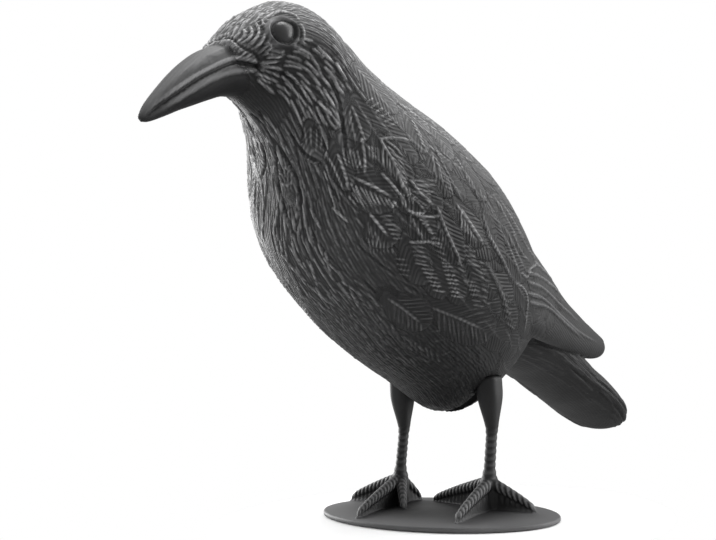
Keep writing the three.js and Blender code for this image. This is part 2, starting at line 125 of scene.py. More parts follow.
# Stand
PLATE_LENGTH = 139
PLATE_WIDTH = 88
PLATE_RIM = 2.4
PLATE_CROWN = 1.6
RIM_ROUND = 0.9
LEG_SPACING = 58
LEG_TOP = 72
STRAIGHT_TOP = 27
ANKLE_HEIGHT = 21
ANKLE_SET_BACK = 9.5
TOP_SET_BACK = 15.3
ANKLE_WIDTH = 9
SHANK_WIDTH = 5.9
THIGH_WIDTH = 12.4
THIGH_LENGTH = 31
THIGH_ROUND = 1.6
THIGH_POWER = 0.6
SCUTE_PITCH = 3.4
SCUTE_DEPTH = 0.75
BRIDGE_DEPTH = 6.5
BRIDGE_HEIGHT = 8
SIDE_GAP = 0.6
SEAT_GAP = 0.3
# How far in from the rim the plate's crown rises, as a share of its width; points around plate and leg, and
# rings up the leg
CROWN_SHARE = 0.4
PLATE_SIDES = 120
LEG_SIDES = 40
LEG_RINGS = 190
# Height over which the ankle narrows to the shank, on either side of it
ANKLE_BLEND = 5

# Toes: reach, widths, height over the plate at the tip, how the ridge arches, how deep they sink into the
# plate, the bars across, how far the round part goes around, the fillet at the foot, and the ring spacing
TOE_REACH = 48
TOE_BASE_WIDTH = 9
TOE_TIP_WIDTH = 4.4
TOE_TIP_HEIGHT = 3.2
TOE_ARCH = 0.8
TOE_SINK = 1
TOE_BAR_PITCH = 3.1
TOE_BAR_DEPTH = 1.3
TOE_BAR_LEAN = 0.35
TOE_ROD_ARC = 150
TOE_FILLET = 2.2
TOE_STEP = 0.4
# Each toe's turn from straight ahead toward the bird's outside, in degrees, and its share of the reach
TOES = {
    1: ((92, 0.54), (5, 0.82), (-106, 1), (-160, 0.3)),
    -1: ((90, 0.78), (-7, 0.98), (-39, 0.56), (-165, 0.3)),
}

# Studio, in metres: a round of pale paper just under the feet, and the point that the soft boxes face
FLOOR_RADIUS = 0.12
FLOOR_DROP = 0.0002
FLOOR_COLOUR = "#efefef"
FLOOR_ROUGHNESS = 0.9
LIGHT_TARGET = np.array([0, 0, 0.12])
# Soft boxes: how far right of the bird and behind it they stand, as the camera sees it, height and watts
SOFTBOX_SIZE = 1.0
SOFTBOXES = [
    ("top_softbox", 0, 0, 1.6, 18),
    ("right_softbox", 1.5, 0, 0.4, 18),
    ("shoulder_softbox", 1.05, 0, 1.2, 10),
    ("breast_softbox", -1.05, 1.05, 0.4, 32),
    ("back_softbox", 0, 1.05, 1.2, 4),
]
# How strongly the white surround lights the bird; the camera sees it at full white
AIR = 0.55

# Fields of fine strands: form, stations, angles from the top in degrees, spacing, length, gap, width and
# height in mm, slope to the side, stray of the slope, and how much lighter their crests are painted, partly as
# wear and partly as painted highlight
FIELDS = [
    (BODY, (2.4, 6.4), (138, 180), 2.0, 5, 1.0, 1.3, 0.28, 0.0, 0.20, 0.03),
    (BODY, (6.4, 9.4), (138, 164), 2.3, 9, 1.2, 1.4, 0.26, 0.0, 0.14, 0.04),
    (BODY, (4.6, 6.8), (158, 180), 2.1, 7, 1.0, 1.4, 0.45, 0.0, 0.20, 0.14),
    (BODY, (6.6, 9.6), (162, 180), 2.2, 11, 1.0, 1.5, 0.75, 0.0, 0.20, 0.36),
    (BODY, (9.2, 11.5), (164, 180), 2.2, 10, 1.0, 1.5, 0.65, 0.0, 0.12, 0.40),
    (BODY, (8.8, 11.0), (138, 164), 2.8, 16, 2.0, 1.8, 0.50, 0.0, 0.06, 0.06),
    (BODY, (8.2, 10.0), (104, 140), 2.5, 10, 0.5, 1.8, 0.85, 0.1, 0.20, 0.24),
    (BODY, (7.6, 10.2), (84, 106), 2.6, 10, 1.0, 1.7, 0.50, 0.0, 0.16, 0.16),
    (BODY, (9.8, 12.6), (92, 138), 2.35, 8.5, 0.4, 1.8, 1.0, 0.12, 0.12, 0.52),
    (BODY, (8.6, 11.4), (2, 84), 2.4, 6, 1.6, 1.6, 0.32, 0.0, 0.20, 0.10),
    (BODY, (11.2, 12.6), (2, 56), 2.2, 5, 1.0, 1.5, 0.45, 0.0, 0.22, 0.20),
    (BODY, (12.3, 14.0), (2, 66), 2.1, 6, 0.6, 1.5, 0.55, 0.0, 0.16, 0.42),
    (TAIL, (0.5, 6.8), (4, 150), 3.2, 30, 1.5, 2.0, 0.50, 0.0, 0.05, 0.05),
    (WING, (2.5, 6.6), (16, 90), 3.0, 26, 1.5, 1.9, 0.40, 0.0, 0.04, 0.08),
]

# Fields of deeper furrows between locks of strands, in the same order, with the depth last
FURROWS = [
    (BODY, (5.5, 10.6), (140, 180), 7.0, 24, 8, 1.7, -0.75),
    (BODY, (8.2, 10.6), (100, 140), 6.5, 12, 6, 1.5, -0.7),
    (BODY, (3.0, 5.5), (140, 180), 8.0, 18, 9, 1.6, -0.5),
]

# Leaf feathers of the shoulder and flank: root and tip in the photograph's pixels, and width in mm
LEAVES = [
    ((333, 144), (350, 190), 11),
    ((361, 136), (366, 178), 10),
    ((380, 137), (409, 196), 15),
    ((350, 176), (395, 206), 20),
    ((396, 172), (424, 214), 18),
    ((408, 176), (438, 218), 18),
    ((405, 208), (433, 240), 15),
    ((437, 206), (461, 264), 15),
    ((430, 148), (450, 198), 13),
    ((456, 202), (482, 246), 14),
    ((481, 186), (504, 264), 13),
    ((368, 213), (392, 246), 17),
    ((404, 236), (426, 284), 15),
    ((422, 246), (444, 298), 14),
    ((440, 240), (461, 304), 14),
    ((461, 236), (482, 308), 14),
    ((386, 294), (426, 328), 21),
    ((430, 304), (492, 336), 25),
    ((350, 104), (364, 142), 12),
    ((405, 114), (426, 154), 12),
    ((309, 124), (317, 164), 11),
    ((292, 158), (290, 206), 8),
    ((430, 124), (452, 160), 12),
    ((462, 156), (486, 202), 12),
]
LEAF_LIFT = 0.4
BARB_HEIGHT = 0.5
BARB_WIDTH = 1.0

# Rows of smaller feathers that cover back and flank, in stations and degrees, and their size in mm
ROW_FIRST = 2.1
ROW_LAST = 9.2
ROW_PITCH = 0.5
ROW_ANGLE = 128
FEATHER_LENGTH = 30
FEATHER_WIDTH = 15
FEATHER_LIFT = 0.28
SHAFT_HEIGHT = 0.22
# How closely the feathers of a row lie, how far each strays in its row, sideways slope and bend, and their
# unevenness in length and width
FEATHER_OVERLAP = 0.82
FEATHER_STRAY = 0.12
FEATHER_SLOPE = 0.06
FEATHER_BEND = 0.12
FEATHER_LENGTHS = (0.85, 1.15)
FEATHER_WIDTHS = (0.85, 1.1)
# How far from a leaf's middle line its points lie at most, as a share of its width
LEAF_REACH = 0.6

# Painted light and shade in the plastic's colour: a base tone on the flank, how much more painted light on
# back, breast and head where light falls on them, and the share of that which is left on the tail and the belly
# as painted shade
FLANK_BASE_TONE = 0.035
BACK_PAINTED_LIGHT = 0.28
BREAST_PAINTED_LIGHT = 0.27
HEAD_PAINTED_LIGHT = 0.26
TAIL_PAINTED_SHADE_SHARE = 0.08
BELLY_PAINTED_SHADE_SHARE = 0.2
# Where each sets in and is full: how far the surface faces up or forward, or heights and places in mm
BACK_FACING = (-0.05, 0.65)
BREAST_FACING = (0.3, 0.9)
HEAD_HEIGHT = (150, 215)
THROAT_FACING = (-0.6, 0.1)
TAIL_PLACE = (60, 128)
BELLY_HEIGHT = (60, 150)
# The same on the stand: a base tone on the legs, rings and toe bars painted lighter partly as wear and partly
# as painted highlight, and painted light on the plate out to its rim
LEG_BASE_TONE = 0.02
RING_WEAR_AND_HIGHLIGHT = 0.12
TOE_BAR_WEAR_AND_HIGHLIGHT = 0.22
PLATE_PAINTED_LIGHT = 0.16
RING_ROUNDS = 6
RING_PROUD = (0.02, 0.14)
# How much lower the relief is on the side away from the photograph, and where that sets in, in mm
FAR_CALM = 0.35
FAR_PLACE = (-5, -25)
# Crests painted lighter, partly as wear and partly as painted highlight, with the grooves left darker as
# painted
# shade: rounds of smoothing that they are measured against, from where to where they stand proud in mm, how
# bright they are, and how much tone is left in the grooves, on dull strokes and on the eye
CREST_ROUNDS = 14
CREST_PROUD = (-0.15, 0.3)
CREST_BRIGHT = 0.62
GROOVE_SHARE = 0.2
DULL_SHARE = 0.3
EYE_TONE = 0.12

# Barbs: their spacing in mm, their angle to the feather's shaft, and the wave texture's period at scale 1
BARB_PITCH = 1.8
BARB_ANGLE = 38
WAVE_PERIOD = math.pi / 10
# How strong the fine barbs are on body, beak, tail and wing, and how much sooner a strand breaks than a barb
BARB_SHARES = (1.0, 0.12, 0.4, 0.5)
STRAND_BREAKS = 5.0
# How far apart the patches of the wave's pattern are taken, one for each feather
PATCH_STEP = 7.0
# Where back and flank end and where the middle of the side is, in degrees from the top
BACK_EDGE = 55
FLANK_EDGE = 122
SIDE_MIDDLE = 88

# Combs of barbs, in the photograph's pixels: where the first and the last barb start, how many there are, the
# first and the last barb's reach, and how bright they are
COMBS = [
    ((383, 145), (399, 177), 6, (1.5, 24), (2, 13), 0.85),
    ((385, 140), (403, 184), 9, (21, 20), (8, 17), 0.85),
    ((329, 158), (340, 180), 6, (6, 12), (5, 12), 0.7),
    ((343, 148), (357, 150), 5, (5, 22), (6, 24), 0.7),
    ((341, 166), (346, 182), 3, (5, 10), (4, 9), 0.6),
    ((369, 146), (378, 148), 4, (1, 14), (1, 17), 0.6),
    ((351, 183), (393, 201), 10, (15, 26), (5, 7), 0.85),
    ((349, 196), (355, 188), 3, (9, 11), (11, 15), 0.6),
    ((411, 180), (414, 191), 5, (26, 1), (23, 6), 0.65),
    ((412, 191), (410, 196), 3, (21, 12), (15, 16), 0.6),
    ((408, 188), (401, 196), 4, (5, 17), (3, 12), 0.6),
    ((414, 213), (427, 229), 6, (13, 2), (7, 6), 0.85),
    ((410, 214), (420, 232), 5, (2, 11), (3, 10), 0.4),
    ((380, 216), (393, 238), 6, (12, 0), (11, 1), 0.35),
    ((368, 222), (378, 236), 4, (2, 13), (3, 14), 0.22),
    ((368, 238), (392, 243), 7, (3, 16), (1, 13), 0.22),
    ((411, 242), (415, 263), 6, (15, 2), (14, 3), 0.5),
    ((395, 258), (399, 274), 4, (13, 1), (12, 2), 0.25),
    ((421, 268), (433, 289), 6, (16, 2.5), (12, 2), 0.75),
    ((441, 262), (451, 295), 9, (12, 1.5), (13, 2), 0.75),
    ((430, 238), (438, 256), 4, (12, 3), (10, 6), 0.35),
    ((462, 246), (467, 264), 5, (13, 1.5), (12, 2), 0.4),
    ((466, 281), (473, 304), 6, (12, 1), (11, 2), 0.5),
    ((456, 262), (463, 280), 4, (9, 8), (8, 8), 0.3),
    ((438, 211), (457, 254), 8, (10, 25), (5, 14), 0.45),
    ((437, 214), (450, 246), 6, (0, 19), (2, 12), 0.4),
    ((461, 208), (479, 236), 8, (13, 21), (4, 9), 0.7),
    ((460, 211), (473, 235), 7, (1.5, 21), (2, 9), 0.6),
    ((432, 152), (447, 176), 6, (4, 29), (7, 24), 0.42),
    ((436, 150), (455, 186), 6, (12, 24), (6, 16), 0.35),
    ((480, 190), (495, 212), 6, (10, 25), (8, 20), 0.3),
    ((486, 232), (498, 254), 7, (9, 15), (6, 11), 0.55),
    ((483, 214), (489, 232), 4, (3, 16), (4, 14), 0.3),
    ((456, 158), (474, 186), 6, (11, 22), (8, 18), 0.22),
    ((410, 118), (420, 140), 5, (10, 14), (7, 12), 0.3),
    ((396, 100), (412, 112), 5, (9, 9), (9, 9), 0.25),
    ((352, 106), (360, 130), 6, (6, 11), (6, 11), 0.5),
    ((350, 110), (355, 134), 5, (-2, 12), (0, 12), 0.4),
    ((366, 104), (388, 126), 6, (9, -6), (11, -4), 0.35),
    ((398, 300), (420, 319), 6, (30, -2), (13, -1), 0.1),
    ((395, 304), (420, 323), 7, (0, 19), (1, 11), 0.12),
    ((439, 312), (484, 331), 11, (1, 23), (3, 12), 0.18),
    ((458, 314), (482, 326), 5, (28, -6), (14, -3), 0.12),
    ((440, 330), (450, 350), 3, (-12, 2), (-10, 3), 0.12),
    ((324, 170), (334, 204), 6, (5, 13), (4, 12), 0.5),
    ((305, 128), (322, 130), 4, (3, 22), (-2, 24), 0.12),
    ((284, 168), (292, 164), 3, (3, 30), (-1, 32), 0.3),
    ((404, 336), (436, 352), 7, (2, 14), (4, 12), 0.15),
    ((352, 292), (372, 312), 5, (8, 14), (8, 12), 0.1),
    ((478, 262), (482, 300), 8, (10, 4), (9, 6), 0.25),
    ((500, 292), (506, 322), 6, (10, 5), (8, 6), 0.2),
]

# Long grooves on the neck and shoulder, and single strokes, bright and soft, in the photograph's pixels
NECK_GROOVES = [
    [(331, 80), (338, 98), (343, 125), (347, 161)],
    [(259, 112), (268, 132), (275, 152), (281, 198), (300, 250)],
    [(291, 136), (305, 154), (323, 164)],
]
BRIGHT_STROKES = [
    [(333, 208), (349, 223)],
    [(380, 139), (392, 160), (400, 180), (406, 197)],
    [(382, 174), (393, 186), (406, 203)],
    [(380, 139), (396, 138), (412, 141)],
    [(338, 155), (345, 172), (349.5, 189)],
    [(362, 139), (365, 158), (364.5, 176)],
    [(355, 178), (374, 187), (393, 198)],
    [(407, 210), (421, 216), (436, 216), (441, 209)],
    [(327, 141), (327, 151), (323, 161)],
    [(410, 180), (420, 193), (434, 206)],
    [(437, 208), (447, 234), (460, 260)],
    [(456, 204), (468, 222), (481, 243)],
    [(410, 242), (430, 242), (444, 245)],
    [(370, 214), (388, 236)],
]
SOFT_STROKES = [
    [(433, 308), (458, 318), (485, 330)],
    [(389, 299), (405, 310), (421, 323)],
]

# Long ridges where the back runs out over the wing, and the bright border where the flank's feathers end
RUMP_RIDGES = [
    [(498, 226), (510, 250), (523, 284)],
    [(504, 226), (516, 252), (527, 274)],
    [(509, 226), (521, 252), (532, 264)],
    [(513, 222), (526, 246), (537, 262)],
    [(492, 240), (503, 262), (516, 288)],
    [(486, 262), (500, 290), (510, 318)],
    [(500, 200), (516, 226), (528, 246)],
    [(494, 196), (508, 222), (520, 246)],
]
FLANK_BORDER = [
    [(515, 282), (523, 288), (527, 298), (526, 316), (524, 334)],
    [(521, 273), (527, 277), (529, 270), (536, 264)],
]
WING_RIDGES = [
    [(527, 272), (540, 277), (556, 290), (576, 312), (590, 326)],
    [(528, 282), (542, 288), (560, 305), (580, 323)],
    [(528, 293), (543, 299), (562, 317), (580, 333), (597, 342)],
    [(530, 302), (548, 308), (566, 324), (584, 340)],
    [(534, 262), (550, 278), (568, 300), (584, 318)],
]

# Grooves between the tail's feathers: their angles from its top, the station they start at and their length
TAIL_GROOVES = (9, 31, 53, 75, 97, 119)
TAIL_GROOVE_END = 6.6
TAIL_GROOVE_LENGTH = 105.0

# Beak: the mouth line, the edges above and below it, the hollow along the nostril, the feather border at its
# root, and the bristles over the nostril
MOUTH = [(257, 66.5), (245, 63.5), (233, 62.5), (216, 69.6), (198, 79), (180, 91), (160, 105), (147, 115)]
LOWER_EDGE = [(254, 70.5), (236, 71.5), (216, 77.5), (198, 87), (180, 98), (162, 109)]
UPPER_EDGE = [(257, 62), (245, 59), (233, 58), (216, 65), (198, 74.5), (180, 86.5), (160, 101)]
NOSTRIL_HOLLOW = [(246, 53), (228, 54), (208, 64), (190, 76), (174, 88)]
BEAK_BORDER = [(209, 43), (219, 39.5), (231, 38.5), (241, 46), (254, 53), (258, 60), (258, 69)]
BRISTLES = [
    [(240, 45), (232, 51)],
    [(243, 48), (235, 54)],
    [(247, 51), (240, 57)],
    [(251, 54), (244, 59)],
]
LORES = [
    [(262, 22), (266, 31), (262, 41), (253, 50)],
    [(267, 26), (270, 36), (266, 46), (257, 54)],
    [(256, 24), (259, 32), (254, 41), (247, 46)],
    [(250, 27), (252, 34), (248, 40), (242, 42)],
    [(271, 43), (268, 50), (262, 56)],
    [(244, 30), (245, 35), (241, 39)],
]
BROW = [
    [(262, 22), (270, 15), (282, 12), (294, 15), (301, 22)],
    [(300, 24), (304, 32), (302, 41), (296, 48)],
]

# Every single line: its group, width and height (or depth) in mm, how bright it is and how blunt its ends are
STROKES = [
    (NECK_GROOVES, 2.4, -1.1, 0, 0.2),
    (BRIGHT_STROKES, 1.5, 0.6, 0.7, 0.2),
    (SOFT_STROKES, 1.8, 0.5, 0.28, 0.2),
    (RUMP_RIDGES, 2.4, 0.55, 0.25, 0.3),
    (WING_RIDGES, 2.4, 1.0, 0.3, 0.2),
    (FLANK_BORDER, 1.6, 0.6, 0.5, 0.2),
    (LORES, 1.6, 1.1, 0.55, 0.2),
    (BRISTLES, 1.2, 0.5, 0.5, 0.35),
    (BROW, 1.5, 0.6, 0.6, 0.2),
    ([BEAK_BORDER], 2.0, -0.8, 0, 0.1),
    ([NOSTRIL_HOLLOW], 7.5, -0.7, 0, 0.3),
    ([UPPER_EDGE], 2.6, 0.5, 0.35, 0.15),
    ([LOWER_EDGE], 3.0, 0.5, 0.35, 0.15),
    ([MOUTH], 2.2, -1.5, 0, 0.1),
]

# Eye: its middle in the photograph's pixels, the way it looks, and in mm the ball's radius, how far it stands
# out and how deep its rim lies, the lid's radius, hollow, height and width, and how far the eye reaches
EYE_PIXEL = (283.5, 31.5)
EYE_LOOK = np.array([0.93, -0.34, 0.12])
BALL_RADIUS = 5.0
BALL_RISE = 2.6
BALL_SINK = 0.9
LID_RADIUS = 7.0
LID_HOLLOW = 1.1
LID_HEIGHT = 1.9
LID_WIDTH = 0.8
EYE_REACH = 9.8
EYE_DEPTH = 9
EYE_EDGE = 3
# The rear corner: how far the lid is drawn out there, toward which degree and how widely, in radians
CORNER_STRETCH = 0.16
CORNER_ANGLE = 35
CORNER_SPREAD = 0.4

# Plastic: near black, and the grey that worn crests, painted light and painted highlights are mixed toward
DARK = "#0c0c0d"
LIGHT = "#c2c2c3"
# Height of the bumps in its surface, in metres
BUMP_HEIGHT = 0.0004
# How often its patterns repeat in a metre: pale blotches about 36 mm wide, and a grain of about 1.4 mm
BLOTCH_SCALE = 28.0
GRAIN_SCALE = 700.0

rng = np.random.default_rng(SEED)


def through(values, t):
    """Height of the curve through evenly numbered values, at t from the first to the last"""
    t = np.clip(np.asarray(t, float), 0, len(values) - 1)
    i = np.minimum(t.astype(int), len(values) - 2)
    u = t - i
    v = np.concatenate(([2 * values[0] - values[1]], values, [2 * values[-1] - values[-2]]))
    a, b, c, d = v[i], v[i + 1], v[i + 2], v[i + 3]
    return b + 0.5 * u * (c - a + u * (2 * a - 5 * b + 4 * c - d + u * (3 * (b - c) + d - a)))


def place(form, station, angle):
    """Points of a form's surface: the angle is from the top toward the left"""
    columns = np.array(form, float).T
    top_f, top_z, bottom_f, bottom_z, half, waist, keel, top_x, bottom_x = (
        through(column, station) for column in columns)
    up = 0.5 * np.stack([top_x - bottom_x, top_f - bottom_f, top_z - bottom_z], -1)
    across = np.stack([up[..., 2], np.zeros_like(up[..., 0]), -up[..., 0]], -1)
    across /= np.linalg.norm(across, axis=-1, keepdims=True)
    rise = np.cos(angle)
    level = np.where(rise > 0, waist + (1 - waist) * rise, waist + (1 + waist) * rise)
    middle = np.stack([top_x, top_f, top_z], -1) - up
    side = half * np.sin(angle) * (1 - keel * np.maximum(0, -rise))
    drawn = middle + up * level[..., None] + across * side[..., None]
    return drawn * (1, -1, 1)


def smooth_step(low, high, value):
    """Goes smoothly from 0 at low to 1 at high, which may also be the smaller of the two"""
    share = np.clip((value - low) / (high - low), 0, 1)
    return share * share * (3 - 2 * share)


def ring(bm, points):
    """A closed ring of edges through the points"""
    circle = bmesh.ops.create_circle(bm, segments=len(points), radius=1)["verts"]
    for vertex, point in zip(circle, points):
        vertex.co = point
    return list(bm.edges[-len(points):])


def skin_rings(bm, rings):
    """A closed skin over rings of points, flat at both ends"""
    edges = [ring(bm, points) for points in rings]
    for near, far in zip(edges, edges[1:]):
        bmesh.ops.bridge_loops(bm, edges=near + far)
    for end in (edges[0], edges[-1]):
        bmesh.ops.edgeloop_fill(bm, edges=end)


def loft(bm, form, rings, sides, side=1):
    """A closed skin over a form's sections, or with side -1 over their mirror image"""
    angles = np.arange(sides) * 2 * math.pi / sides
    stations = np.linspace(0, len(form) - 1, rings)
    skin_rings(bm, [place(form, np.full(sides, s), angles) * (side, 1, 1) for s in stations])


def mesh_object(name, bm):
    bmesh.ops.recalc_face_normals(bm, faces=bm.faces)
    mesh = bpy.data.meshes.new(name)
    bm.to_mesh(mesh)
    bm.free()
    piece = bpy.data.objects.new(name, mesh)
    bpy.context.scene.collection.objects.link(piece)
    return piece


def bake_modifiers(piece):
    """Puts what the piece's modifiers make into its mesh"""
    shown = piece.evaluated_get(bpy.context.evaluated_depsgraph_get())
    made = bpy.data.meshes.new_from_object(shown)
    piece.modifiers.clear()
    piece.data = made


def modify(piece, kind, **settings):
    """Puts a modifier on a piece and makes its result the piece's mesh"""
    modifier = piece.modifiers.new(kind.lower(), kind)
    for name, value in settings.items():
        setattr(modifier, name, value)
    bake_modifiers(piece)


def thin_out(piece, most):
    triangles = sum(len(polygon.vertices) - 2 for polygon in piece.data.polygons)
    modify(piece, "DECIMATE", ratio=min(1, most / triangles))


def vertex_arrays(mesh):
    """The places and normals of a mesh's vertices"""
    points = np.empty(len(mesh.vertices) * 3)
    mesh.vertices.foreach_get("co", points)
    normals = np.empty(len(mesh.vertices) * 3)
    mesh.vertex_normals.foreach_get("vector", normals)
    return points.reshape(-1, 3), normals.reshape(-1, 3)


# Camera

def camera_axes():
    """Place of the camera, and its right, up and forward"""
    azimuth, elevation = math.radians(CAMERA_AZIMUTH), math.radians(CAMERA_ELEVATION)
    level = math.cos(elevation)
    away = np.array([math.sin(azimuth) * level, -math.cos(azimuth) * level, math.sin(elevation)])
    forward = -away
    right = np.cross(forward, (0, 0, 1))
    right /= np.linalg.norm(right)
    up = np.cross(right, forward)
    yaw = math.atan2(AIM_PIXEL_OFFSET[0], FOCAL_PIXELS)
    right, forward = (math.cos(yaw) * right + math.sin(yaw) * forward,
                      math.cos(yaw) * forward - math.sin(yaw) * right)
    pitch = math.atan2(-AIM_PIXEL_OFFSET[1], FOCAL_PIXELS)
    up, forward = (math.cos(pitch) * up + math.sin(pitch) * forward,
                   math.cos(pitch) * forward - math.sin(pitch) * up)
    roll = math.radians(CAMERA_ROLL)
    right, up = (math.cos(roll) * right - math.sin(roll) * up,
                 math.sin(roll) * right + math.cos(roll) * up)
    return AIM + away * CAMERA_DISTANCE, right, up, forward


def add_camera():
    place_at, right, up, forward = camera_axes()
    data = bpy.data.cameras.new("camera")
    data.sensor_fit = "HORIZONTAL"
    data.sensor_width = SENSOR
    data.lens = SENSOR * FOCAL_PIXELS / FRAME_WIDTH
    data.clip_start = 0.01
    data.clip_end = 50
    camera = bpy.data.objects.new("camera", data)
    turn = Matrix((right, up, -forward)).transposed().to_4x4()
    camera.matrix_world = Matrix.Translation(Vector(place_at) * MM) @ turn
    bpy.context.scene.collection.objects.link(camera)
    bpy.context.scene.camera = camera


# Relief: ridges, grooves and feathers that are pressed into a dense skin

class Skin:
    """The points of a dense mesh, kept by cells so that a stroke finds the few around it"""

    def __init__(self, points, normals, cell=3.0):
        self.points, self.normals, self.cell = points, normals, cell
        keys = self.key(np.floor(points / cell).astype(np.int64))
        self.order = np.argsort(keys, kind="stable")
        found, starts = np.unique(keys[self.order], return_index=True)
        ends = np.append(starts[1:], len(keys))
        self.cells = {k: (a, b) for k, a, b in zip(found.tolist(), starts.tolist(), ends.tolist())}

    @staticmethod
    def key(cells):
        return (cells[..., 0] + 512) + (cells[..., 1] + 512) * 1024 + (cells[..., 2] + 512) * 1048576

    def near(self, line, reach):
        low = np.floor((line.min(0) - reach) / self.cell).astype(int)
        high = np.floor((line.max(0) + reach) / self.cell).astype(int) + 1
        grid = np.stack(np.meshgrid(*(np.arange(a, b) for a, b in zip(low, high)), indexing="ij"), -1)
        spans = [self.cells.get(k) for k in self.key(grid.reshape(-1, 3)).tolist()]
        found = [self.order[a:b] for a, b in (s for s in spans if s)]
        return np.concatenate(found) if found else np.empty(0, int)


def along(line, points):
    """How far along a line each point lies, how far off it, and the line's length"""
    best = np.full(len(points), np.inf)
    run = np.zeros(len(points))
    done = 0.0
    for a, b in zip(line, line[1:]):
        step = b - a
        length = np.linalg.norm(step)
        share = np.clip((points - a) @ step / length ** 2, 0, 1)
        off = np.linalg.norm(points - a - share[:, None] * step, axis=1)
        closer = off < best
        best[closer] = off[closer]
        run[closer] = done + share[closer] * length
        done += length
    return run, best, done


def press_strokes(skin, relief, shine, lines, width, height, bright=0.3, sharp=0.35):
    """Raises (or with a negative height cuts) a thin tapering stroke along each line"""
    count = len(lines)
    for line, half, tall, glint in zip(
            lines, *(np.broadcast_to(v, count) for v in (np.asarray(width) / 2, height, bright))):
        index = skin.near(line, half)
        if not len(index):
            continue
        run, off, length = along(line, skin.points[index])
        share = run / length
        taper = smooth_step(0, sharp, share + 0.12) * smooth_step(0, sharp * 1.6, 1.06 - share)
        across = np.clip(1 - (off / (half * (0.55 + 0.45 * taper))) ** 2, 0, 1)
        rise = tall * across * taper
        if tall > 0:
            relief[index] = np.maximum(relief[index], rise)
            # The stroke's crest is painted lighter in shine: partly wear, partly painted highlight
            shine[index] = np.maximum(shine[index], glint * across * taper)
        else:
            relief[index] = np.minimum(relief[index], rise)


def leaf_half(share, width):
    """Half width of a leaf feather along its run"""
    far = np.sqrt(np.clip(1 - ((share - 0.5) / 0.5) ** 2, 0, 1))
    return width / 2 * np.where(share > 0.5, far, 0.45 + 0.55 * smooth_step(0, 0.5, share))


def press_leaf(skin, relief, cover, line, width, lift):
    """A leaf-shaped plate that rises to its tip and hides what lies behind it"""
    index = skin.near(line, width * LEAF_REACH)
    run, off, length = along(line, skin.points[index])
    share = run / length
    inside = leaf_half(share, width) - off
    mask = smooth_step(-0.7, 0.5, inside)
    plate = lift * share ** 1.5 * (1 - 0.4 * np.clip(off / (width / 2), 0, 1) ** 2)
    groove = -0.5 * lift * np.exp(-((inside + 0.7) / 0.5) ** 2) * smooth_step(0.3, 0.7, share)
    relief[index] = (1 - mask) * (relief[index] + groove) + mask * plate
    cover[index] = np.maximum(cover[index], mask)


def feather_rows():
    """Middle lines of the overlapping feathers of back and flank, from the rump to the shoulders"""
    feathers = []
    for row, station in enumerate(np.arange(ROW_FIRST, ROW_LAST, ROW_PITCH)):
        sweep = np.radians(np.linspace(0, ROW_ANGLE, 40))
        girth = np.linalg.norm(np.diff(place(BODY, np.full(40, station), sweep), axis=0), axis=1).sum()
        count = max(3, round(girth / (FEATHER_WIDTH * FEATHER_OVERLAP)))
        turns = (np.arange(count) + 0.5 * (row % 2)) * sweep[-1] / (count - 0.5)
        turns += rng.uniform(-FEATHER_STRAY, FEATHER_STRAY, count) * sweep[-1] / count
        slopes, bends = rng.normal(0, FEATHER_SLOPE, count), rng.normal(0, FEATHER_BEND, count)
        lengths = FEATHER_LENGTH * rng.uniform(*FEATHER_LENGTHS, count)
        for line in walk(BODY, np.full(count, station), turns, slopes, bends, lengths, 5):
            feathers.append((line, FEATHER_WIDTH * rng.uniform(*FEATHER_WIDTHS)))
    return feathers


def form_samples(form, last_angle, centre):
    """Points over a form, how far each lies round it and along it in mm, and the two directions"""
    stations = np.arange(0, len(form) - 1, 0.05)
    angles = np.radians(np.arange(0, last_angle, 1.5))
    s, a = np.meshgrid(stations, angles, indexing="ij")
    points = place(form, s, a)
    run = place(form, s + TINY, a) - points
    turn = place(form, s, a + TINY) - points
    radius = np.linalg.norm(turn, axis=-1).mean(1, keepdims=True) / TINY
    steps = np.linalg.norm(np.diff(points, axis=0), axis=-1)
    length = np.vstack([np.zeros(len(angles)), np.cumsum(steps, 0)])
    across = (a - centre(a)) * radius
    return [v.reshape(-1, v.shape[-1]) if v.ndim == 3 else v.ravel() for v in (
        points, across, length, turn / np.linalg.norm(turn, axis=-1, keepdims=True),
        run / np.linalg.norm(run, axis=-1, keepdims=True))]


def body_centre(angle):
    """The line that the strands' spacing is counted from: back, side or breast"""
    edges = [angle < math.radians(BACK_EDGE), angle < math.radians(FLANK_EDGE)]
    return np.select(edges, [0, math.radians(SIDE_MIDDLE)], math.pi)


def lay_barbs(points, feathers):
    """Where each point lies on its strand or barb: across the lines, along them, and which patch, in mm; and
    how strong the fine barbs are there"""
    parts = [form_samples(BODY, 180, body_centre), form_samples(BEAK, 180, np.zeros_like),
             form_samples(TAIL, 180, np.zeros_like), form_samples(WING, 360, np.zeros_like)]
    strong = np.repeat(BARB_SHARES, [len(part[0]) for part in parts])
    spots, across, length, turn, run = (np.concatenate(column) for column in zip(*parts))
    length *= STRAND_BREAKS
    tree = KDTree(len(spots))
    for i, p in enumerate(spots.tolist()):
        tree.insert(p, i)
    tree.balance()
    left = points * np.where(points[:, :1] < 0, -1, 1) ** np.array([1, 0, 0])
    near = np.array([tree.find(p)[1] for p in left.tolist()])
    off = left - spots[near]
    places = np.stack([across[near] + (off * turn[near]).sum(1), length[near] + (off * run[near]).sum(1),
                       np.zeros(len(points))], -1)
    skin = Skin(left, left)
    barb = math.radians(BARB_ANGLE)
    for patch, (line, width) in enumerate(feathers):
        index = skin.near(line, width * LEAF_REACH)
        done, aside, total = along(line, left[index])
        inside = leaf_half(done / total, width) > aside
        index, done, aside = index[inside], done[inside], aside[inside]
        places[index] = np.stack([
            done * math.sin(barb) - aside * math.cos(barb), done * math.cos(barb) + aside * math.sin(barb),
            np.full(len(index), PATCH_STEP * (patch + 1))], -1)
    return places, strong[near]


# Lines on the forms

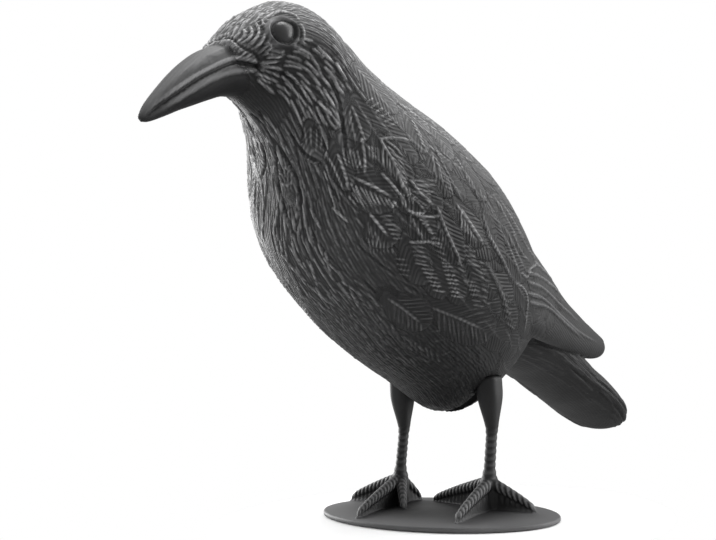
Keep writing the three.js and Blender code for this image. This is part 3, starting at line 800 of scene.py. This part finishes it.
def walk(form, station, angle, slope, bend, length, steps):
    """Lines that run tailward from (station, angle), each with its own length, sideways slope and bend"""
    station = np.minimum(station, len(form) - 1 - TINY)
    lines = [place(form, station, angle)]
    for step in range(steps):
        here = lines[-1]
        per_station = np.linalg.norm(place(form, station + TINY, angle) - here, axis=-1) / TINY
        per_angle = np.linalg.norm(place(form, station, angle + TINY) - here, axis=-1) / TINY
        aside = slope + bend * ((step + 0.5) / steps - 0.5)
        station = np.maximum(station - length / steps / per_station, 0)
        angle = angle + aside * length / steps / per_angle
        lines.append(place(form, station, angle))
    return np.stack(lines, 1)


def strand_field(form, stations, angles, pitch, length, gap, slope, stray, bend=0.1, steps=4, side=1):
    """Strands that lie in lanes down a form between two stations and two angles, in degrees"""
    middle = (stations[0] + stations[1]) / 2
    sweep = np.radians(np.linspace(angles[0], angles[1], 60))
    arc = place(form, np.full(60, middle), sweep)
    girth = np.linalg.norm(np.diff(arc, axis=0), axis=1).sum()
    lanes = max(2, int(girth / pitch))
    lane_angle = np.radians(angles[1] - angles[0]) / lanes
    starts, turns = [], []
    last = len(form) - 1.02
    for lane in range(lanes):
        angle = np.radians(angles[0]) + lane_angle * (lane + 0.5)
        station = min(stations[1], last) - rng.uniform(0, 0.3)
        while station > stations[0]:
            here = place(form, np.array(station), np.array(angle))
            there = place(form, np.array(station - 0.01), np.array(angle))
            per_station = max(np.linalg.norm(there - here) / 0.01, 1)
            starts.append(station)
            turns.append(angle + rng.uniform(-0.35, 0.35) * lane_angle)
            station -= (length + gap) * rng.uniform(0.7, 1.3) / per_station
    starts, turns = np.array(starts), np.array(turns)
    lengths = length * rng.uniform(0.7, 1.3, len(starts))
    slopes = slope + rng.normal(0, stray, len(starts))
    bends = rng.normal(0, bend, len(starts))
    lines = walk(form, starts, turns, slopes, bends, lengths, steps)
    return list(lines * (side, 1, 1))


class Sight:
    """Puts points of the photograph on the bird, on the side that shows"""

    def __init__(self, bm):
        self.tree = BVHTree.FromBMesh(bm)
        self.eye, self.right, self.up, self.forward = camera_axes()

    def cast(self, x, y):
        """The bird's surface at a pixel, or None beside the bird"""
        ray = (self.forward * FOCAL_PIXELS + self.right * (x - FRAME_WIDTH / 2)
               + self.up * (FRAME_HEIGHT / 2 - y))
        hit, _, _, _ = self.tree.ray_cast(Vector(self.eye), Vector(ray / np.linalg.norm(ray)))
        return np.array(hit) if hit else None

    def line(self, corners, steps=6):
        """Surface points along a curve through corners in the photograph's pixels"""
        corners = np.array(corners, float)
        t = np.linspace(0, len(corners) - 1, steps * (len(corners) - 1) + 1)
        found = [self.cast(x, y) for x, y in zip(through(corners[:, 0], t), through(corners[:, 1], t))]
        return np.array([point for point in found if point is not None])


def shape_eye(skin, centre, side):
    """A domed ball in a raised lid: how far each point shifts, which way, and how much the ball has of it"""
    look = EYE_LOOK * (side, 1, 1)
    look = look / np.linalg.norm(look)
    rear = np.cross((0, 0, 1), look) * side
    rear /= np.linalg.norm(rear)
    high = np.cross(look, rear) * side
    away = skin.points - centre
    east, north, out = away @ rear, away @ high, away @ look
    corner = np.arctan2(north, east)
    reach = np.hypot(east, north)
    drawn = np.exp(-((corner - math.radians(CORNER_ANGLE)) / CORNER_SPREAD) ** 2)
    r = reach / (1 + CORNER_STRETCH * drawn)
    dome = -BALL_SINK + (BALL_RISE + BALL_SINK) * np.sqrt(np.clip(1 - (r / BALL_RADIUS) ** 2, 0, 1))
    lid = -LID_HOLLOW + LID_HEIGHT * np.exp(-((r - LID_RADIUS) / LID_WIDTH) ** 2)
    wall = np.where(r < BALL_RADIUS, dome, lid)
    weight = smooth_step(LID_RADIUS + 1.5, LID_RADIUS + 0.2, r)
    near = (reach < EYE_REACH + 2) & (np.abs(out) < EYE_DEPTH)
    shift = np.where(near, weight * (wall - out), 0)
    return shift, look, np.where(near, smooth_step(BALL_RADIUS + 0.2, BALL_RADIUS - 0.4, r), 0)


def build_bird_forms(bm):
    """Body, beak, tail and both wings, each a closed skin of its own"""
    loft(bm, BODY, 90, 64)
    loft(bm, BEAK, 40, 40)
    loft(bm, TAIL, 40, 40)
    for side in (1, -1):
        loft(bm, WING, 50, 32, side)


def comb_lines(sight, first, last, count, first_reach, last_reach):
    """Barbs that start along a line, each cut by hand and so a little uneven"""
    lines = []
    for i in range(count):
        share = (i + rng.uniform(-0.15, 0.15)) / max(1, count - 1)
        start = np.array(first) * (1 - share) + np.array(last) * share
        reach = (np.array(first_reach) * (1 - share) + np.array(last_reach) * share) * rng.uniform(0.85, 1.1)
        aside = np.array([reach[1], -reach[0]]) * rng.normal(0, 0.03)
        line = sight.line([start, start + reach / 2 + aside, start + reach], 3)
        if len(line) > 2:
            lines.append(line)
    return lines


def carve_bird(skin, sight):
    """Height of the relief at every point of the bird, in mm, and how much lighter its crests are painted,
    partly as wear and partly as painted highlight
    """
    size = len(skin.points)
    total, shine = np.zeros(size), np.zeros(size)

    def add(lines, width, height, bright=0.2, sharp=0.35):
        layer = np.zeros(size)
        press_strokes(skin, layer, shine, lines, width, height, bright, sharp)
        return layer

    def both(corners):
        line = sight.line(corners)
        return [line * flip for flip in BOTH_SIDES]

    # Fine strands and furrows
    for form, stations, angles, pitch, length, gap, width, height, slope, stray, bright in FIELDS:
        for side in (1, -1):
            lines = strand_field(form, stations, angles, pitch, length, gap, slope, stray, side=side)
            uneven = rng.uniform(0.65, 1.15, len(lines))
            widths = width * rng.uniform(0.85, 1.15, len(lines))
            total += add(lines, widths, height * uneven, bright * uneven, 0.18)
    for form, stations, angles, pitch, length, gap, width, depth in FURROWS:
        for side in (1, -1):
            lines = strand_field(form, stations, angles, pitch, length, gap, 0, 0.1, side=side)
            total += add(lines, width, depth * rng.uniform(0.5, 1, len(lines)))

    # Leaf feathers, tail end first so that each lies over the one behind, and the small ones under the large
    large = []
    for root, tip, width in LEAVES:
        bend = [(a + b) / 2 + rng.uniform(-1.5, 1.5) for a, b in zip(root, tip)]
        large.append((sight.line([root, bend, tip], 4), width))
    large.sort(key=lambda f: -f[0][0, 1])
    small = feather_rows()
    cover = np.zeros(size)
    for feathers, lift in ((small, FEATHER_LIFT), (large, LEAF_LIFT)):
        for line, width in feathers:
            for flip in BOTH_SIDES:
                press_leaf(skin, total, cover, line * flip, width, lift)
    shine *= 1 - cover
    shafts = [line[:-1] * flip for line, _ in small for flip in BOTH_SIDES]
    total += add(shafts, 1.3, SHAFT_HEIGHT, 0.12, 0.3)
    layer = np.zeros(size)
    for first, last, count, first_reach, last_reach, bright in COMBS:
        lines = comb_lines(sight, first, last, count, first_reach, last_reach)
        uneven = rng.uniform(0.7, 1.1, len(lines))
        for flip in BOTH_SIDES:
            flipped = [line * flip for line in lines]
            press_strokes(
                skin, layer, shine, flipped, BARB_WIDTH, BARB_HEIGHT * uneven, bright * uneven, 0.25)
    total += layer

    for group, width, height, bright, sharp in STROKES:
        for corners in group:
            total += add(both(corners), width, height, bright, sharp)

    # Long grooves between the tail's feathers
    for side in (1, -1):
        for angle in TAIL_GROOVES:
            line, = walk(TAIL, np.array([TAIL_GROOVE_END]), np.radians([angle]), np.zeros(1), np.zeros(1),
                         np.array([TAIL_GROOVE_LENGTH]), 14)
            total += add([line * (side, 1, 1)], 2.0, -0.7, sharp=0.1)
    return total, shine, small + large


def neighbours_mean(mesh, values, rounds):
    """Values of the vertices, evened out with their neighbours' in so many rounds"""
    pairs = np.empty(len(mesh.edges) * 2, int)
    mesh.edges.foreach_get("vertices", pairs)
    a, b = pairs[::2], pairs[1::2]
    count = np.bincount(a, minlength=len(values)) + np.bincount(b, minlength=len(values))
    for _ in range(rounds):
        total = np.bincount(a, values[b], len(values)) + np.bincount(b, values[a], len(values))
        values = 0.5 * values + 0.5 * total / np.maximum(count, 1)
    return values


def store(mesh, name, values):
    """Keeps a value for each vertex under a name that the materials read"""
    layer = mesh.attributes.new(name, "FLOAT", "POINT")
    layer.data.foreach_set("value", values.astype(np.float32))


def painted_light_share(points, normals):
    """Painted light and shade in the plastic's colour: most painted light on head, breast and upward-facing
    back, painted shade on belly and tail
    """
    behind, height = points[:, 1], points[:, 2]
    share = (FLANK_BASE_TONE + BACK_PAINTED_LIGHT * smooth_step(*BACK_FACING, normals[:, 2])
             + BREAST_PAINTED_LIGHT * smooth_step(*BREAST_FACING, -normals[:, 1])
             + HEAD_PAINTED_LIGHT * smooth_step(*HEAD_HEIGHT, height) * smooth_step(*THROAT_FACING, normals[:, 2]))
    share *= 1 - (1 - TAIL_PAINTED_SHADE_SHARE) * smooth_step(*TAIL_PLACE, behind)
    return share * (BELLY_PAINTED_SHADE_SHARE + (1 - BELLY_PAINTED_SHADE_SHARE) * smooth_step(*BELLY_HEIGHT, height))


def make_bird():
    """The bird's forms as one dense skin, with its relief, its eyes and the tones of its plastic, which carry
    painted light and shade
    """
    bm = bmesh.new()
    build_bird_forms(bm)
    sight = Sight(bm)
    bird = mesh_object("crow_decoy_body", bm)
    modify(bird, "REMESH", mode="VOXEL", voxel_size=VOXEL, adaptivity=0)
    modify(bird, "SMOOTH", factor=0.5, iterations=BIRD_SMOOTHING)
    points, normals = vertex_arrays(bird.data)
    skin = Skin(points, normals)
    relief, shine, feathers = carve_bird(skin, sight)
    relief *= 1 - FAR_CALM * smooth_step(*FAR_PLACE, points[:, 0])
    shifted = points + normals * relief[:, None]
    glossy, calm, lids = np.zeros((3, len(points)))
    centre = sight.cast(*EYE_PIXEL)
    for side, flip in zip((1, -1), BOTH_SIDES):
        shift, look, ball = shape_eye(skin, centre * flip, side)
        inner = smooth_step(EYE_REACH, EYE_REACH - EYE_EDGE, np.linalg.norm(points - centre * flip, axis=1))
        shifted = shifted * (1 - inner[:, None]) + (points + shift[:, None] * look) * inner[:, None]
        lids = np.maximum(lids, smooth_step(-0.2, 0.6, shift) * inner)
        glossy = np.maximum(glossy, ball)
        calm = np.maximum(calm, inner)
    # Crests and lids painted lighter, partly as wear and partly as painted highlight; grooves left darker as
    # painted shade
    proud = relief - neighbours_mean(bird.data, relief, CREST_ROUNDS)
    # Painted light: lighter where the surface faces up or forward and on the head, painted shade on belly and
    # tail
    painted_light_and_wear = painted_light_share(points, normals)
    crest = smooth_step(*CREST_PROUD, proud)
    crest = crest * (1 - calm) + lids * calm
    tone = painted_light_and_wear * (GROOVE_SHARE + (1 - GROOVE_SHARE) * crest)
    tone += CREST_BRIGHT * shine * (DULL_SHARE + (1 - DULL_SHARE) * crest)
    tone = tone * (1 - glossy) + EYE_TONE * glossy
    bird.data.vertices.foreach_set("co", shifted.ravel())
    bird.data.update()
    dense = KDTree(len(points))
    for i, p in enumerate(shifted.tolist()):
        dense.insert(p, i)
    dense.balance()
    thin_out(bird, BIRD_TRIANGLES)
    mesh = bird.data
    final, _ = vertex_arrays(mesh)
    nearest = np.array([dense.find(p)[1] for p in final.tolist()])
    places, strong = lay_barbs(final, feathers)
    store(mesh, "relief_tone", tone[nearest])
    store(mesh, "eye_ball", glossy[nearest])
    store(mesh, "barb_share", strong * (1 - calm[nearest]))
    barbs = mesh.attributes.new("barb_place", "FLOAT_VECTOR", "POINT")
    barbs.data.foreach_set("vector", places.astype(np.float32).ravel())
    return bird


# Colours and materials

def linear(code):
    """An sRGB hex colour as linear light"""
    parts = [int(code[i:i + 2], 16) / 255 for i in (1, 3, 5)]
    return [c / 12.92 if c <= 0.04045 else ((c + 0.055) / 1.055) ** 2.4 for c in parts] + [1]


def add_node(tree, kind, inputs=None, **settings):
    """Adds a node with its settings; inputs hold values, or (node, output) to link"""
    node = tree.nodes.new(kind)
    for name, value in settings.items():
        setattr(node, name, value)
    for name, value in (inputs or {}).items():
        if isinstance(value, tuple) and isinstance(value[0], bpy.types.Node):
            tree.links.new(value[0].outputs[value[1]], node.inputs[name])
        else:
            node.inputs[name].default_value = value
    return node


def moulded_plastic(name, carved):
    """Blow-moulded polyethylene: near black and matte, lighter on the crests partly as wear and partly as
    painted highlight, with painted light and shade from its tone attribute, and with fine barbs where it is
    carved"""
    material = bpy.data.materials.new(name)
    material.use_nodes = True
    tree = material.node_tree
    tree.nodes.clear()
    place_at = add_node(tree, "ShaderNodeTexCoord")
    blotch = add_node(tree, "ShaderNodeTexNoise", {
        "Vector": (place_at, "Object"), "Scale": BLOTCH_SCALE, "Detail": 4.0, "Roughness": 0.6})
    uneven = add_node(tree, "ShaderNodeMapRange", {
        "Value": (blotch, "Fac"), "From Min": 0.3, "From Max": 0.7, "To Min": 0.75, "To Max": 1.1})
    grain = add_node(tree, "ShaderNodeTexNoise", {
        "Vector": (place_at, "Object"), "Scale": GRAIN_SCALE, "Detail": 2.0, "Roughness": 0.5})
    rough = add_node(tree, "ShaderNodeMapRange", {
        "Value": (blotch, "Fac"), "From Min": 0.3, "From Max": 0.7, "To Min": 0.52, "To Max": 0.64})
    crest = add_node(tree, "ShaderNodeAttribute", attribute_name="relief_tone")
    wear_and_painted_light = add_node(tree, "ShaderNodeMath", {0: (crest, "Fac"), 1: (uneven, "Result")}, operation="MULTIPLY")
    height = grain
    if carved:
        # Barbs between the carved ones, too fine for the mesh: broken, wavy lines
        barbs = add_node(tree, "ShaderNodeAttribute", attribute_name="barb_place")
        share = add_node(tree, "ShaderNodeAttribute", attribute_name="barb_share")
        drawn = add_node(tree, "ShaderNodeVectorMath", {
            0: (barbs, "Vector"), 1: (1.0, 0.12, 1.0)}, operation="MULTIPLY")
        lines = add_node(tree, "ShaderNodeTexWave", {
            "Vector": (drawn, "Vector"), "Scale": WAVE_PERIOD / BARB_PITCH, "Distortion": 2.6, "Detail": 1.5,
            "Detail Scale": 1.6}, bands_direction="X")
        broken = add_node(tree, "ShaderNodeTexNoise", {
            "Vector": (drawn, "Vector"), "Scale": 0.45, "Detail": 1.0})
        strong = add_node(tree, "ShaderNodeMapRange", {
            "Value": (broken, "Fac"), "From Min": 0.35, "From Max": 0.65, "To Min": 0.3, "To Max": 1.0})
        shown = add_node(tree, "ShaderNodeMath", {
            0: (share, "Fac"), 1: (strong, "Result")}, operation="MULTIPLY")
        fine = add_node(tree, "ShaderNodeMath", {
            0: (lines, "Fac"), 1: (shown, "Value")}, operation="MULTIPLY")
        height = add_node(tree, "ShaderNodeMath", {
            0: (grain, "Fac"), 1: 0.12, 2: (fine, "Value")}, operation="MULTIPLY_ADD")
        # The fine barb lines are also painted lighter in colour: painted highlight on their crests
        lit = add_node(tree, "ShaderNodeMath", {
            0: (fine, "Value"), 1: 1.1, 2: 0.6}, operation="MULTIPLY_ADD")
        wear_and_painted_light = add_node(tree, "ShaderNodeMath", {
            0: (lit, "Value"), 1: (wear_and_painted_light, "Value")}, operation="MULTIPLY")
        eye = add_node(tree, "ShaderNodeAttribute", attribute_name="eye_ball")
        rough = add_node(tree, "ShaderNodeMix", {
            "Factor": (eye, "Fac"), "A": (rough, "Result"), "B": 0.3})
    colour = add_node(tree, "ShaderNodeMix", {
        "Factor": (wear_and_painted_light, 0), 6: linear(DARK), 7: linear(LIGHT)}, data_type="RGBA")
    bump = add_node(tree, "ShaderNodeBump", {
        "Height": (height, 0), "Strength": 0.7 if carved else 0.1, "Distance": BUMP_HEIGHT})
    shader = add_node(tree, "ShaderNodeBsdfPrincipled", {
        "Base Color": (colour, 2), "Roughness": (rough, 0), "Normal": (bump, "Normal"), "IOR": 1.5,
        "Specular IOR Level": 0.3})
    add_node(tree, "ShaderNodeOutputMaterial", {"Surface": (shader, "BSDF")})
    return material


# Stand

def plate_rings():
    """The oval plate: a rounded edge at the bottom and the top, and a low crown"""
    r, top = RIM_ROUND, PLATE_RIM
    arc = np.radians(np.linspace(0, 90, 5))
    profile = [(r * (1 - math.sin(a)), r * (1 - math.cos(a))) for a in arc]
    profile += [(r * (1 - math.cos(a)), top - r * (1 - math.sin(a))) for a in arc]
    for share in np.linspace(0, 1, 9)[1:]:
        rise = PLATE_CROWN * math.sin(share * math.pi / 2)
        profile.append((r + (PLATE_WIDTH * CROWN_SHARE - r) * share, top + rise))
    angles = np.arange(PLATE_SIDES) * 2 * math.pi / PLATE_SIDES
    return [np.stack([(PLATE_LENGTH / 2 - inset) * np.cos(angles), (PLATE_WIDTH / 2 - inset) * np.sin(angles),
                      np.full(PLATE_SIDES, z)], -1) for inset, z in profile]


def leg_rings(x):
    """One leg: a ringed shank below a squared thigh that widens upwards"""
    angles = (np.arange(LEG_SIDES) + 0.5) * 2 * math.pi / LEG_SIDES
    c, s = np.cos(angles), np.sin(angles)
    thigh_foot = LEG_TOP - THIGH_LENGTH
    rings = []
    for z in np.linspace(PLATE_RIM - TOE_SINK, LEG_TOP, LEG_RINGS):
        share = np.clip((z - ANKLE_HEIGHT) / (LEG_TOP - STRAIGHT_TOP - ANKLE_HEIGHT), 0, 1)
        y = ANKLE_SET_BACK + (TOP_SET_BACK - ANKLE_SET_BACK) * share
        swell = float(smooth_step(-0.05, 0.8, (z - thigh_foot) / (THIGH_LENGTH - THIGH_ROUND)))
        narrow = float(smooth_step(ANKLE_HEIGHT - ANKLE_BLEND, ANKLE_HEIGHT + ANKLE_BLEND, z))
        shank = ANKLE_WIDTH + (SHANK_WIDTH - ANKLE_WIDTH) * narrow
        width = shank + (THIGH_WIDTH - SHANK_WIDTH) * swell
        ringed = (1 - smooth_step(0, 0.25, swell)) * smooth_step(ANKLE_HEIGHT - 6, ANKLE_HEIGHT - 3, z)
        bar = abs(math.sin(math.pi * (z - ANKLE_HEIGHT) / SCUTE_PITCH)) ** 0.6
        width += float(ringed) * SCUTE_DEPTH * (1.4 * bar - 1)
        inset = THIGH_ROUND * (1 - math.sqrt(max(0, 1 - max(0, (z - LEG_TOP) / THIGH_ROUND + 1) ** 2)))
        width -= 2 * inset
        power = 1 + (THIGH_POWER - 1) * swell
        rings.append(np.stack([
            x + width / 2 * np.sign(c) * np.abs(c) ** power,
            y + width / 2 * np.sign(s) * np.abs(s) ** power, np.full(LEG_SIDES, z)], -1))
    return rings


def toe_rings(x, side, turn, reach):
    """One toe: a barred rod from the ankle down to the plate, on a smooth fin"""
    a = math.radians(turn)
    ahead = np.array([side * math.sin(a), -math.cos(a), 0])
    aside = np.array([-ahead[1], ahead[0], 0])
    base, low = PLATE_RIM - TOE_SINK, PLATE_RIM + TOE_TIP_HEIGHT
    around = np.radians(np.linspace(0, TOE_ROD_ARC, 14))
    rings = []
    for run in np.linspace(0, reach, int(reach / TOE_STEP)):
        share = run / reach
        end = math.sqrt(max(0.04, 1 - float(smooth_step(0.88, 1.0, share)) ** 2))
        radius = (TOE_BASE_WIDTH + (TOE_TIP_WIDTH - TOE_BASE_WIDTH) * share) / 2 * 0.8 * end
        tall = (low + (ANKLE_HEIGHT - low) * (1 - share) ** TOE_ARCH - base) * (0.45 + 0.55 * end)
        down = radius * (1 - np.cos(around))
        phase = (run - TOE_BAR_LEAN * down) / TOE_BAR_PITCH
        gap = (1 - np.abs(np.sin(math.pi * phase)) ** 0.7) * float(smooth_step(3, 6, run))
        off_ridge = smooth_step(0.25, 0.7, np.sin(around / 1.5))
        rod = radius * np.sin(around) - TOE_BAR_DEPTH * gap * off_ridge
        height = np.maximum(tall - down - 0.3 * gap, 0)
        fin = np.linspace(height[-1], 0, 8)[1:]
        smooth = radius * math.sin(around[-1])
        foot = smooth + (rod[-1] - smooth) * np.exp(height[-1] * -0.5 + fin * 0.5)
        foot = foot + TOE_FILLET * np.exp(-fin / 2)
        half = np.concatenate([rod, foot])
        level = np.concatenate([height, fin])
        half = np.concatenate([half[:0:-1], -half])
        level = np.concatenate([level[:0:-1], level])
        middle = np.array([x, ANKLE_SET_BACK, base]) + ahead * run
        rings.append(middle + aside * half[:, None] + np.array([0, 0, 1]) * level[:, None])
    return rings


def make_stand():
    """Plate, legs, toes and bridge as one skin, with the tones of its plastic, which carry painted light and
    highlights
    """
    bm = bmesh.new()
    skin_rings(bm, plate_rings())
    for side in (1, -1):
        x = side * LEG_SPACING / 2
        skin_rings(bm, leg_rings(x))
        for turn, share in TOES[side]:
            skin_rings(bm, toe_rings(x, side, turn, share * TOE_REACH))
    bridge = bmesh.ops.create_cube(bm, size=1)["verts"]
    bmesh.ops.scale(bm, vec=(LEG_SPACING, BRIDGE_DEPTH, BRIDGE_HEIGHT), verts=bridge)
    bmesh.ops.translate(bm, vec=(0, TOP_SET_BACK, LEG_TOP - BRIDGE_HEIGHT / 2), verts=bridge)
    stand = mesh_object("crow_leg_stand", bm)
    modify(stand, "REMESH", mode="VOXEL", voxel_size=STAND_VOXEL, adaptivity=0)
    modify(stand, "SMOOTH", factor=0.5, iterations=STAND_SMOOTHING)
    thin_out(stand, STAND_TRIANGLES)
    points, normals = vertex_arrays(stand.data)
    # Rings and toe bars painted lighter where they stand proud, partly as wear and partly as painted highlight;
    # the plate painted lighter toward its rim and darker near the feet as painted light and shade
    mean = np.stack([neighbours_mean(stand.data, axis, RING_ROUNDS) for axis in points.T], -1)
    ringed = smooth_step(*RING_PROUD, ((points - mean) * normals).sum(1))
    ringed *= smooth_step(LEG_TOP - THIGH_LENGTH + 4, LEG_TOP - THIGH_LENGTH - 2, points[:, 2])
    reach = np.hypot(points[:, 0] / PLATE_LENGTH, points[:, 1] / PLATE_WIDTH) * 2
    plate = smooth_step(PLATE_RIM + PLATE_CROWN + 2, PLATE_RIM + PLATE_CROWN, points[:, 2])
    toes = smooth_step(ANKLE_HEIGHT + 1, ANKLE_HEIGHT - 3, points[:, 2])
    ringed *= (1 - plate) * (RING_WEAR_AND_HIGHLIGHT + (TOE_BAR_WEAR_AND_HIGHLIGHT - RING_WEAR_AND_HIGHLIGHT) * toes)
    painted_light_and_wear = LEG_BASE_TONE + ringed + PLATE_PAINTED_LIGHT * plate * smooth_step(0.4, 1.0, reach)
    store(stand.data, "relief_tone", painted_light_and_wear)
    return stand


def cut_sockets(bird):
    """Cuts the slot for the bridge across the belly, and a pocket for each thigh"""
    roof = LEG_TOP + SEAT_GAP
    pocket = (2 * THIGH_WIDTH + 2 * SIDE_GAP, THIGH_WIDTH + 2 * SIDE_GAP)
    middle = (LEG_SPACING + THIGH_WIDTH) / 2
    slot = (LEG_SPACING, BRIDGE_DEPTH + 2 * SIDE_GAP)
    for x, (length, depth) in ((0, slot), (middle, pocket), (-middle, pocket)):
        bm = bmesh.new()
        box = bmesh.ops.create_cube(bm, size=1)["verts"]
        bmesh.ops.scale(bm, vec=(length, depth, 2 * LEG_TOP), verts=box)
        bmesh.ops.translate(bm, vec=(x, TOP_SET_BACK, roof - LEG_TOP), verts=box)
        cutter = mesh_object("socket_cutter", bm)
        modify(bird, "BOOLEAN", operation="DIFFERENCE", object=cutter, solver="MANIFOLD")
        bpy.data.objects.remove(cutter)


def finish_piece(piece, material, node):
    """Brings a piece to metres, dresses it and puts it in the place of its node"""
    piece.data.transform(Matrix.Scale(MM, 4))
    piece.data.shade_smooth()
    piece.data.materials.clear()
    piece.data.materials.append(material)
    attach(piece, "root")
    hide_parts(node)


def add_floor():
    """A small round of pale paper, so that little light comes up at the belly"""
    bm = bmesh.new()
    bmesh.ops.create_circle(bm, cap_ends=True, segments=64, radius=FLOOR_RADIUS)
    floor = mesh_object("studio_floor", bm)
    material = bpy.data.materials.new("floor_paper")
    material.use_nodes = True
    shader = material.node_tree.nodes["Principled BSDF"]
    shader.inputs["Base Color"].default_value = linear(FLOOR_COLOUR)
    shader.inputs["Roughness"].default_value = FLOOR_ROUGHNESS
    floor.data.materials.append(material)
    floor.location.z = -FLOOR_DROP


def add_light(name, at, watts):
    data = bpy.data.lights.new(name, "AREA")
    data.shape = "SQUARE"
    data.size = SOFTBOX_SIZE
    data.energy = watts
    light = bpy.data.objects.new(name, data)
    light.location = at
    light.rotation_euler = Vector(LIGHT_TARGET - at).to_track_quat("-Z", "Y").to_euler()
    bpy.context.scene.collection.objects.link(light)


def add_studio():
    """The soft boxes, and a white surround that the camera sees brighter than it lights the bird"""
    scene = bpy.context.scene
    world = bpy.data.worlds.new("studio")
    world.use_nodes = True
    tree = world.node_tree
    tree.nodes.clear()
    ray = add_node(tree, "ShaderNodeLightPath")
    paper = add_node(tree, "ShaderNodeBackground", {"Color": linear("#ffffff"), "Strength": 1.0})
    air = add_node(tree, "ShaderNodeBackground", {"Color": linear("#ffffff"), "Strength": AIR})
    shown = add_node(tree, "ShaderNodeMixShader", {0: (ray, "Is Camera Ray"), 1: (air, 0), 2: (paper, 0)})
    add_node(tree, "ShaderNodeOutputWorld", {"Surface": (shown, 0)})
    scene.world = world
    scene.view_settings.view_transform = "Standard"
    _, right, _, forward = camera_axes()
    for name, right_by, back_by, height, watts in SOFTBOXES:
        at = LIGHT_TARGET + right * right_by + forward * back_by
        at[2] = height
        add_light(name, at, watts)


add_camera()
bird = make_bird()
cut_sockets(bird)
finish_piece(bird, moulded_plastic("polyethylene_crow", True), "crow_body")
stand = make_stand()
finish_piece(stand, moulded_plastic("polyethylene_stand", False), "leg_stand")
add_floor()
add_studio()
